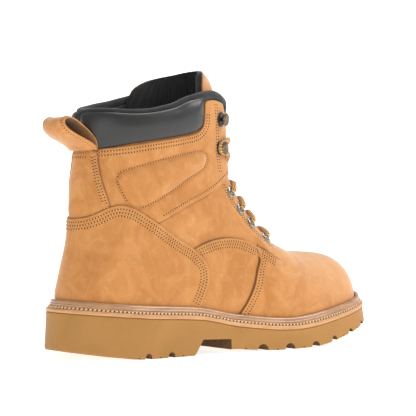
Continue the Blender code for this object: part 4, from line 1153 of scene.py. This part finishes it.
def pull_loop():
    """Folded strap sewn down at the top of the backstay, standing off behind the collar."""
    ring = np.asarray(LOOP_SHAPE, float)
    long = np.concatenate([ring[-2:], ring, ring[:2]])
    outer = even(smooth_path(long, 8)[16:-16], 72)
    along = np.roll(outer, -1, 0) - np.roll(outer, 1, 0)
    inward = np.stack([-along[:, 1], along[:, 0]], -1)
    inward /= np.linalg.norm(inward, axis=1, keepdims=True)
    if ((outer.mean(0) - outer) * inward).sum() < 0:
        inward = -inward
    across = np.concatenate([[-1, -0.982, -0.943], np.linspace(-0.857, 0.857, 15),
                             [0.943, 0.982, 1]])
    depth = np.array([0.75, 0.3, 0.05] + [0.0] * 15 + [0.05, 0.3, 0.75])
    sag = 0.5 * np.cos(across * pi / 2)
    sections = []
    for share, tuck, drop_by in zip(across, depth, sag):
        for move in (tuck, 2.2 - tuck):
            p = outer + move * inward
            y = share * loop_half(outer[:, 1])
            sections.append(np.column_stack([p[:, 0] + loop_bend(y, p[:, 1]), y,
                                             p[:, 1] - drop_by]))
    outside = np.array(sections[0::2])
    inside = np.array(sections[1::2])[::-1]
    rings = np.concatenate([outside, inside]).transpose(1, 0, 2)
    item = ring_band("pull_loop_strap", rings, "nubuck", "pull_loop")
    item.data.materials.append(STUFF["suede"])
    k = rings.shape[1]
    for face in item.data.polygons:
        if all(v % k >= len(across) - 1 for v in face.vertices):
            face.material_index = 1
    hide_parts("pull_loop")
    rows = []
    for side in (LATERAL, MEDIAL):
        y = side * (loop_half(outer[:, 1]) - 2.2)
        run = np.column_stack([outer[:, 0] + loop_bend(y, outer[:, 1]), y, outer[:, 1]])
        out = np.column_stack([-inward[:, 0], 0 * inward[:, 0], -inward[:, 1]])
        rows.append((run, out))
    sew("stitches_pull_loop", rows, "pull_loop")


# ---- stitching ----------------------------------------------------------------------------------
def resample(points, other, pitch):
    """Points and matching vectors at an even pitch along a run."""
    gaps = np.linalg.norm(np.diff(points, axis=0), axis=1)
    run = np.concatenate([[0], np.cumsum(gaps)])
    at = np.arange(pitch / 2, run[-1], pitch)

    def pick(table):
        return np.stack([np.interp(at, run, table[:, k]) for k in range(3)], -1)

    ahead = np.stack([np.interp(at + 0.3, run, points[:, k]) -
                      np.interp(at - 0.3, run, points[:, k]) for k in range(3)], -1)
    ahead /= np.linalg.norm(ahead, axis=1, keepdims=True)
    out = pick(other)
    out -= ahead * (ahead * out).sum(1, keepdims=True)
    out /= np.linalg.norm(out, axis=1, keepdims=True)
    return pick(points), ahead, out


def capsule(sides=6):
    """Unit stitch: along x from -1 to 1, with its faces."""
    stations = [(-0.82, 0.62), (-0.3, 1.0), (0.3, 1.0), (0.82, 0.62)]
    turn = np.arange(sides) / sides * 2 * pi
    points = [(-1, 0, 0)]
    points += [(x, r * np.cos(a), r * np.sin(a)) for x, r in stations for a in turn]
    points.append((1, 0, 0))
    faces = [(0, 1 + (j + 1) % sides, 1 + j) for j in range(sides)]
    for i in range(len(stations) - 1):
        for j in range(sides):
            a = 1 + i * sides + j
            b = 1 + i * sides + (j + 1) % sides
            faces.append((a, b, b + sides, a + sides))
    last = len(points) - 1
    faces += [(last - sides + j, last - sides + (j + 1) % sides, last) for j in range(sides)]
    return np.array(points), faces


def sew(name, rows, body="boot", pitch=2.35, long=0.8, wide=0.45, stuff="thread", slant=0.12,
        hole=0.62):
    """Rows of raised stitches with a dark pit between each two, painted as the shade inside a needle
    hole.
    """
    stitch, stitch_faces = capsule()
    pit, pit_faces = capsule(5)
    points = []
    faces = []
    marks = []
    start = 0
    for run, out in rows:
        middle, ahead, up = resample(run, out, pitch)
        across = np.cross(up, ahead)
        turn = slant + rng.normal(0, 0.06, len(middle))[:, None]
        along = ahead * np.cos(turn) + across * np.sin(turn)
        side = np.cross(up, along)
        for k in range(len(middle)):
            shape = (middle[k] + stitch[:, :1] * along[k] * long + stitch[:, 1:2] * side[k] * wide
                     + stitch[:, 2:] * up[k] * wide * 0.8)
            points.append(shape)
            faces += [tuple(i + start for i in f) for f in stitch_faces]
            marks += [0] * len(stitch_faces)
            start += len(shape)
            if hole:
                spot = middle[k] + ahead[k] * pitch / 2
                shape = (spot + pit[:, :1] * ahead[k] * hole + pit[:, 1:2] * across[k] * hole
                         + pit[:, 2:] * up[k] * 0.2)
                points.append(shape)
                faces += [tuple(i + start for i in f) for f in pit_faces]
                marks += [1] * len(pit_faces)
                start += len(shape)
    points = np.concatenate(points)
    mesh = bpy.data.meshes.new(name)
    mesh.from_pydata(((points + [FRAME_X, 0, 0]) * MM).tolist(), [], faces)
    mesh.materials.append(STUFF[stuff])
    mesh.materials.append(STUFF["needle_hole_shade"])
    mesh.polygons.foreach_set("material_index", np.array(marks, int))
    mesh.shade_smooth()
    item = bpy.data.objects.new(name, mesh)
    bpy.context.scene.collection.objects.link(item)
    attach(item, body)
    return item


def offset_run(line, by, toward, start=0.0, end=0.0):
    """Run beside a chart line, on the side of a side-view place, trimmed at both ends."""
    along = np.gradient(line, axis=0)
    left = np.column_stack([-along[:, 1], along[:, 0]])
    left /= np.linalg.norm(left, axis=1, keepdims=True)
    if ((toward - line) * left).sum() < 0:
        left = -left
    moved = line + left * by
    moved = moved[gap_to(moved, line) > 0.93 * by]
    moved = spaced(moved, 1.5)
    return moved[int(start / 1.5):len(moved) - int(end / 1.5)]


def skin_of(*names):
    """Search tree over the faces of some pieces."""
    points = []
    faces = []
    for name in names:
        mesh = bpy.data.objects[name].data
        start = len(points)
        points += [tuple(v.co) for v in mesh.vertices]
        faces += [tuple(i + start for i in f.vertices) for f in mesh.polygons]
    return BVHTree.FromPolygons(points, faces)


def on_skin(run, skin, proud=0.05):
    """A chart run dropped onto the outermost of some pieces, with the form's normals there."""
    base = on_form(run)
    out = normals(base)
    points = []
    kept = []
    for p, n in zip(base, out):
        start = Vector((p + 9 * n + [FRAME_X, 0, 0]) * MM)
        hit = skin.ray_cast(start, Vector(-n), 0.016)[0]
        if hit:
            points.append(np.array(hit) / MM - [FRAME_X, 0, 0] + proud * n)
            kept.append(n)
    return np.array(points), np.array(kept)


def beside_edge(edge, distances, toward, skin, start=0.0, end=0.0):
    """Stitch rows along one edge, at some distances from it."""
    return [on_skin(offset_run(edge, d, toward, start, end), skin) for d in distances]


def panel_stitches():
    """All the rows on the leather of the upper."""
    heel = np.array([0.0, 60.0])
    sew("stitches_foxing", beside_edge(FOXING_EDGE, (3.0, 5.7, 8.4), heel,
                                       skin_of("heel_foxing_leather"), 4, 4))
    for side, word in SIDES:
        def spot(s, z):
            return flat([(s, z)], side)[0]

        skin = skin_of(f"midfoot_panel_{word}_leather")
        sew(f"stitches_midfoot_{word}",
            beside_edge(MIDFOOT_EDGE[side], (2.6, 5.1, 7.6), spot(-15, 50), skin, 9, 2))
        skin = skin_of("vamp_leather")
        rows = beside_edge(SEAM_EDGE[side], (2.8, 5.9), spot(60, 45), skin, 5, 4)
        rows += beside_edge(TIP_EDGE[side], (1.8, 4.3, 6.8), spot(20, 50), skin)
        sew(f"stitches_vamp_{word}", rows)
        skin = skin_of(f"shaft_panel_{word}_leather")
        rows = beside_edge(SHAFT_EDGE[side], (3.6,), spot(-60, 170), skin, 14, 2)
        ring = QUILT_RING[side]
        rows.append(on_skin(np.concatenate([ring, ring[:1]]), skin, 0.0))
        rows += beside_edge(COLLAR_EDGE[side][:-4], (2.8, 5.8), spot(-60, 120), skin, 3)
        sew(f"stitches_shaft_{word}", rows)
        skin = skin_of(f"shaft_panel_{word}_leather", f"quarter_{word}_leather")
        rows = []
        for d in (15.5, 18.5):
            high = curve(flat([(-9 - d, 203), (-6 - d, 185), (-5 - d, 165), (-2.5 - d, 147)],
                              side))
            rows.append(on_skin(high, skin))
        for d in (11.5, 14.2):
            low = offset_run(STAY_EDGE[side], d, spot(-60, 100))
            rows.append(on_skin(low[(low[:, 1] < 139) & (low[:, 1] > 84)], skin))
        sew(f"stitches_eyestay_{word}", rows)
    rows = []
    skin = skin_of("backstay_leather")
    for side in (LATERAL, MEDIAL):
        rows += beside_edge(BACK_EDGE[side], (2.2, 4.8), np.array([0.0, 140.0]), skin, 3, 6)
    for z in (157.0, 160.0):
        rows.append(on_skin(np.column_stack([np.linspace(-13, 13, 20), np.full(20, z)]), skin))
    sew("stitches_backstay", rows)


# ---- sole unit --------------------------------------------------------------------------------
def sole_top(x):
    """Top of the outsole."""
    return ramp(x, SOLE_X, SOLE_TOP)


def tread(x):
    """Underside of the outsole before the lugs."""
    return ramp(x, TREAD_X, TREAD_Z)


def plan_ring(offset, high, count=300):
    """Ring round the boot outside the form, at a height above the sole line."""
    ring = plan(offset, count)
    return np.column_stack([ring, sole_top(ring[:, 0]) + high])


def prism(name, outline, y0, y1):
    """X-Z outline drawn out sideways, as a cutter."""
    count = len(outline)
    points = [(x, y, z) for y in (y0, y1) for x, z in outline]
    faces = [list(range(count)), [i + count for i in reversed(range(count))]]
    for i in range(count):
        j = (i + 1) % count
        faces.append([j, i, i + count, j + count])
    return solid(name, points, faces, "rubber_recess_shade")


def half_round(x, z, wide, high, count=9):
    """Arch-topped notch outline standing on the tread line."""
    turn = np.linspace(pi, 0, count)
    arc = [(x + wide / 2 * np.cos(a), z + high * np.sin(a)**0.8) for a in turn]
    return [(x - wide / 2, z - 8)] + arc + [(x + wide / 2, z - 8)]


CHANNELS = ((-101, 6.6, 5.0), (-79.5, 6.6, 5.0), (8, 10, 5.4), (34.5, 10, 5.6), (61.5, 8.5, 5.2),
            (84.5, 7, 4.8), (107, 6, 4.4), (126.5, 5.5, 4.2))      # place, width, height
TICKS = (-110, -90, -68.5, -8, 21.5, 48.5, 73.5, 96, 117)


def outsole():
    """Cup sole: side wall with rounded edges, lugs, ticks, waist step and hollow; the faces cut for
    the arch, channels, ticks and grooves carry painted shade.
    """
    shelf = [(5.4, -0.05), (6.3, -0.25), (6.75, -0.9), (6.7, -2.5)]
    count = 300
    rings = [plan_ring(offset, high, count) for offset, high in shelf]
    base = plan(WELT_OUT, count)
    centre = centre_y(base[:, 0])
    spread = base[:, 1] - centre
    for share, out in ((0.35, 0.4), (0.7, 0.9), (0.94, 1.3), (1.0, 0.7)):
        top = sole_top(base[:, 0])
        low = tread(base[:, 0]) + 0.02
        x = base[:, 0] * (1 + out / 154)
        y = centre + spread * (1 + out / 50)
        z = top + (low - top) * share
        rings.append(np.column_stack([x, y, z]))
    rings = np.array(rings)
    outline = rings[-1][:, :2]
    q, faces = triangulate(outline, 9.0, ())
    order = [int(np.argmin(((q - p)**2).sum(1))) for p in outline]
    bottom = np.column_stack([q, tread(q[:, 0])])
    hollow = plan(2.0, count)
    wall_in = [np.column_stack([hollow, sole_top(hollow[:, 0]) + h]) for h in (-0.05, -7.0)]
    sections = np.array([wall_in[1], wall_in[0]] + list(rings))
    k = len(sections)
    points = list(sections.transpose(1, 0, 2).reshape(-1, 3))
    sides = []
    for i in range(count):
        n = (i + 1) % count
        for j in range(k - 1):
            sides.append([i * k + j, i * k + j + 1, n * k + j + 1, n * k + j])
    floor_at = len(points)
    points += list(bottom)
    swap = {order[i]: i * k + k - 1 for i in range(count)}
    sides += [[swap.get(v, floor_at + v) for v in f][::-1] for f in faces]
    inner, inner_faces = triangulate(hollow, 14.0, ())
    inner_order = [int(np.argmin(((inner - p)**2).sum(1))) for p in hollow]
    swap = {inner_order[i]: i * k for i in range(count)}
    roof_at = len(points)
    points += [(x, y, sole_top(x) - 7.0) for x, y in inner]
    sides += [[swap.get(v, roof_at + v) for v in f] for f in inner_faces]
    used = sorted({v for f in sides for v in f})
    number = {v: i for i, v in enumerate(used)}
    item = solid("outsole_rubber", [points[v] for v in used],
                 [[number[v] for v in f] for f in sides], "gum_rubber")
    cutters = [prism("cut_arch", [(-59, -3), (-48.5, 12.4), (-21.5, 11.4), (-21.5, -3)], -80, 80)]
    for i, (x, wide, high) in enumerate(CHANNELS):
        z = float(tread(x))
        cutters.append(prism(f"cut_channel_{i}", half_round(x, z - 0.5, wide, high), -80, 80))
    for i, x in enumerate(TICKS):
        z = float(tread(x))
        cutters.append(prism(f"cut_tick_{i}", half_round(x, z - 0.5, 2.4, 2.0, 5), -80, 80))
    for y in (-16.0, 16.0):
        cutters.append(groove(y, 18, 122, 5.0, 3.4))
        cutters.append(groove(y * 0.8, -136, -66, 4.5, 3.0))
    for cutter in cutters:
        change = item.modifiers.new("cut", "BOOLEAN")
        change.operation = "DIFFERENCE"
        change.solver = "EXACT"
        # The cut faces take the cutter's rubber, painted with the shade of the recess.
        change.material_mode = "TRANSFER"
        change.object = cutter
    apply_modifiers(item)
    for cutter in cutters:
        bpy.data.objects.remove(cutter)
    item.data.shade_smooth()
    item.data.set_sharp_from_angle(angle=0.35)
    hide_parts("outsole")


def groove(y, start, end, wide, deep):
    """Lengthwise tread groove, as a cutter that follows the tread line."""
    x = np.linspace(start, end, 24)
    points = []
    for a in x:
        z = float(tread(a))
        middle = float(centre_y(a)) + y
        points += [(a, middle - wide / 2, z - 6), (a, middle + wide / 2, z - 6),
                   (a, middle + wide / 2 - 0.7, z + deep), (a, middle - wide / 2 + 0.7, z + deep)]
    faces = [[3, 2, 1, 0], [len(points) - 4 + k for k in range(4)]]
    for i in range(len(x) - 1):
        for j in range(4):
            a = i * 4 + j
            b = i * 4 + (j + 1) % 4
            faces.append([a, b, b + 4, a + 4])
    return solid(f"cut_groove_{y}_{start}", points, faces, "rubber_recess_shade")


def welts():
    """Tan welt with its stitched groove, and the glossy storm bead against the upper."""
    profile = [(-6.6, 0.05), (6.2, 0.05), (6.9, 0.35), (7.1, 1.2), (7.0, 2.1), (6.6, 2.9),
               (6.0, 3.25), (5.6, 3.1), (5.2, 3.3), (4.4, 5.0), (3.9, 5.5), (3.4, 5.5),
               (-6.6, 4.4)]
    rings = np.array([plan_ring(o, h) for o, h in profile]).transpose(1, 0, 2)
    item = ring_band("welt_strip", rings, "tan_welt")
    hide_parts("welt")
    bead = [(3.3, 5.3), (4.1, 5.7), (4.3, 6.4), (4.0, 7.0), (3.6, 7.3), (3.7, 8.0), (3.4, 9.0),
            (2.7, 9.8), (1.8, 10.1), (1.0, 9.8), (0.6, 8.9), (0.9, 4.9)]
    rings = np.array([plan_ring(o, h) for o, h in bead]).transpose(1, 0, 2)
    item = ring_band("storm_welt_bead", rings, "brown_welt")
    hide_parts("storm_welt")
    run = plan_ring(4.95, 4.25, 400)
    out = run - plan_ring(3.95, 3.55, 400)
    run = np.concatenate([run, run[:1]])
    out = np.concatenate([out, out[:1]])
    sew("stitches_welt", [(run, out)], pitch=3.4, long=1.45, wide=0.62, stuff="welt_thread",
        slant=0.42, hole=0.8)


def footbed():
    """Covered footbed with raised heel cup and a fine edge."""
    ring = plan(-10.6, 200)
    ring[:, 0] = 134.0 + (ring[:, 0] - 134.0) * 0.98
    q, faces = triangulate(ring, 4.0, (0.3, 1.0, 2.2))
    gap = gap_to(q, ring, True)
    cup = 2.6 * ease((-50 - q[:, 0]) / 50) * ease(1 - gap / 16)
    crown = 1.2 * ease(1 - np.hypot((q[:, 0] + 5) / 34, (q[:, 1] - 14) / 16))
    soft = 1.2 * (1 - ease(gap / 2.2))
    top = sole_top(q[:, 0]) + 12.0 + cup + crown - soft
    upper = np.column_stack([q, top])
    lower = np.column_stack([q, sole_top(q[:, 0]) + 7.7])
    item = close_sheets("footbed_cover", faces, upper, lower, "footbed_fabric", body="footbed")
    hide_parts("footbed")


# ---- lacing -----------------------------------------------------------------------------------
def seat(place, side, offset=0.0):
    """Point on the leather at a side-view place, with the outward normal there."""
    point = wall(wall_t(place[0], side), place[1])
    return lift(point, offset), normals(point)


def hardware():
    """Eyelets, hook plates and speed hooks on both sides."""
    b = EYELET_BORE_R
    eyelet = [(b, -7.6), (b + 0.5, -7.6), (b + 0.6, -1.7), (4.6, -1.5), (5.0, -1.2), (4.7, -0.6),
              (4.0, -0.15), (3.2, -0.1), (b + 0.1, -0.7)]
    plate = [(1.9, 0.1), (6.1, 0.1), (6.1, 0.9), (5.6, 1.5), (4.4, 1.6), (3.8, 1.2), (1.9, 1.2)]
    rivet = [(0, 0.4), (1.75, 0.4), (1.75, 3.8), (2.3, 4.4), (4.3, 4.6), (5.2, 4.9), (5.4, 5.3),
             (5.0, 5.8), (3.6, 6.2), (1.6, 6.35), (0, 6.4)]
    for side, word in SIDES:
        for i, place in enumerate(EYELETS):
            point, out = seat(place, side)
            item = turned(f"eyelet_ring_{word}_{i + 1}", eyelet, point, out, "eyelet_steel")
            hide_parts(f"eyelet_{word}_{i + 1}")
        for i, place in enumerate(HOOKS):
            point, out = seat(place, side)
            item = turned(f"hook_base_{word}_{i + 1}", plate, point, out, "hook_plate_black")
            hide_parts(f"hook_plate_{word}_{i + 1}")
            item = turned(f"speed_hook_{word}_{i + 1}", rivet, point, out, "hook_bronze")
            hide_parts(f"lace_hook_{word}_{i + 1}")


def drop(p):
    """Bring a point near the form onto it."""
    for _ in range(5):
        p = p - normals(p) * form(p)[..., None]
    return p


def beside(place, side, ahead, high):
    """Point beside an eyelet: ahead millimetres toward the throat, high above the form."""
    point, _ = seat(place, side)
    return lift(drop(point + np.array([0.0, -side * ahead, 0.25 * ahead])), high)


def round_hook(place, side):
    """Points round the back of a speed hook's stem, from below it to above it."""
    point, out = seat(place, side)
    inward = np.array([0.0, -side, 0.0])
    inward = inward - out * inward.dot(out)
    inward = inward / np.linalg.norm(inward)
    upward = np.array([0.0, 0.0, 1.0]) - out * out[2]
    turn = np.radians([-75, -130, 180, 130, 75])[:, None]
    return point + out * 3.3 + 4.2 * (np.cos(turn) * inward + np.sin(turn) * upward)


def lace_half(start):
    """One half of the route, from the lowest eyelet up to a lower hook and its tucked end."""
    crossing = -4.5 if start == LATERAL else -9.4
    side = start
    run = []
    for i, place in enumerate(EYELETS):
        for ahead, high in ((11, -10.4), (5, -11.4), (0.6, -10.2), (0, -7.0), (0, -1.5),
                            (0.8, 0.4), (3.5, 1.5), (8, 1.1), (13, 0.4), (15.5, -0.8)):
            run.append(beside(place, side, ahead, high))
        run.append(dorsal(LACE_LEVELS[i], 0.0, crossing))
        side = -side
    run += [beside((-10.0, 158.5), side, 3, 2.4)]
    run += list(round_hook(HOOKS[0], side))
    run += [beside((-9.0, 172), side, 4, 2.6), dorsal(5.85, side * 0.3, -3.0),
            dorsal(5.55, side * 0.16, -6.0)]
    return run


def lace():
    """Criss-cross lace up to the lower hooks."""
    bar = [dorsal(2.05, a, -10.8) for a in (-0.2, 0.0, 0.2)]
    controls = lace_half(LATERAL)[::-1] + bar + lace_half(MEDIAL)
    path = spaced(smooth_path(controls, 6), 1.1)
    item = tube("lace_braid", path, LACE_R * 1.08, "lace_cord", 12)
    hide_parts("lace")


# ---- stage ------------------------------------------------------------------------------------
WORLD_LIGHT = 0.42
KEY_LIGHT = 8.4
FILL_LIGHT = 2.2
TOP_LIGHT = 7.0
FLOOR_GLOW = 0.8


def plain_surface(name, points, faces, colour, glow=0.0):
    """Floor or backdrop sheet with a plain material."""
    mesh = bpy.data.meshes.new(name)
    mesh.from_pydata(points, [], faces)
    item = bpy.data.objects.new(name, mesh)
    bpy.context.scene.collection.objects.link(item)
    paper = bpy.data.materials.new(name)
    paper.use_nodes = True
    shader = paper.node_tree.nodes["Principled BSDF"]
    shader.inputs["Base Color"].default_value = (*colour, 1)
    shader.inputs["Roughness"].default_value = 0.9
    shader.inputs["Specular IOR Level"].default_value = 0.1
    shader.inputs["Emission Color"].default_value = (1, 1, 1, 1)
    shader.inputs["Emission Strength"].default_value = glow
    mesh.materials.append(paper)


def stage():
    """Pale floor, pale backdrop ring, soft lights and the camera."""
    world = bpy.data.worlds.new("studio")
    bpy.context.scene.world = world
    world.use_nodes = True
    world.node_tree.nodes["Background"].inputs[0].default_value = (1, 1, 1, 1)
    world.node_tree.nodes["Background"].inputs[1].default_value = WORLD_LIGHT
    turn = np.arange(64) / 64 * 2 * pi
    ring = [(8 * np.cos(a), 8 * np.sin(a)) for a in turn]
    plain_surface("floor", [(x, y, 0.0) for x, y in ring], [list(range(64))], (0.7, 0.7, 0.7),
                  FLOOR_GLOW)
    high = 1.6
    points = [(x, y, z) for z in (0.0, high) for x, y in ring]
    faces = [[i, (i + 1) % 64, 64 + (i + 1) % 64, 64 + i] for i in range(64)]
    plain_surface("backdrop", points, faces, (0.9, 0.9, 0.9), 0.8)
    area_light("key", (0.95, -0.75, 1.15), (0.03, 0, 0.09), 0.6, KEY_LIGHT)
    area_light("top", (0.5, 0.1, 1.3), (0.08, 0, 0.09), 0.8, TOP_LIGHT)
    area_light("fill", (-1.2, -0.9, 0.7), (0, 0, 0.10), 1.0, FILL_LIGHT)
    bpy.context.scene.view_settings.view_transform = "Standard"
    lens = bpy.data.cameras.new("camera")
    lens.sensor_width = 36.0
    lens.lens = 128.7
    lens.shift_y = -0.0327
    lens.clip_end = 30
    camera = bpy.data.objects.new("camera", lens)
    camera.location = (-0.78614, -0.9683, 0.128)
    camera.rotation_euler = (pi / 2, 0, np.radians(-39.0))
    bpy.context.scene.collection.objects.link(camera)
    bpy.context.scene.camera = camera


def area_light(name, place, aim, size, power):
    """Round soft light aimed at a point."""
    light = bpy.data.lights.new(name, "AREA")
    light.shape = "DISK"
    light.size = size
    light.energy = power
    item = bpy.data.objects.new(name, light)
    item.location = place
    item.rotation_euler = (Vector(aim) - Vector(place)).to_track_quat("-Z", "Y").to_euler()
    bpy.context.scene.collection.objects.link(item)


def main():
    """Build every piece, then the floor, lights and camera."""
    make_materials()
    for node, stuff in KEPT.items():
        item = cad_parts[node]
        item.data.materials.clear()
        item.data.materials.append(STUFF[stuff])
    for side, word in SIDES:
        punch(quarter(side, word), side)
        midfoot_panel(side, word)
        shaft_panel(side, word)
        collar_pad(side, word)
    heel_foxing()
    backstay()
    vamp()
    shaft_lining()
    collar_roll()
    tongue()
    pull_loop()
    panel_stitches()
    outsole()
    welts()
    footbed()
    hardware()
    lace()
    stage()


main()
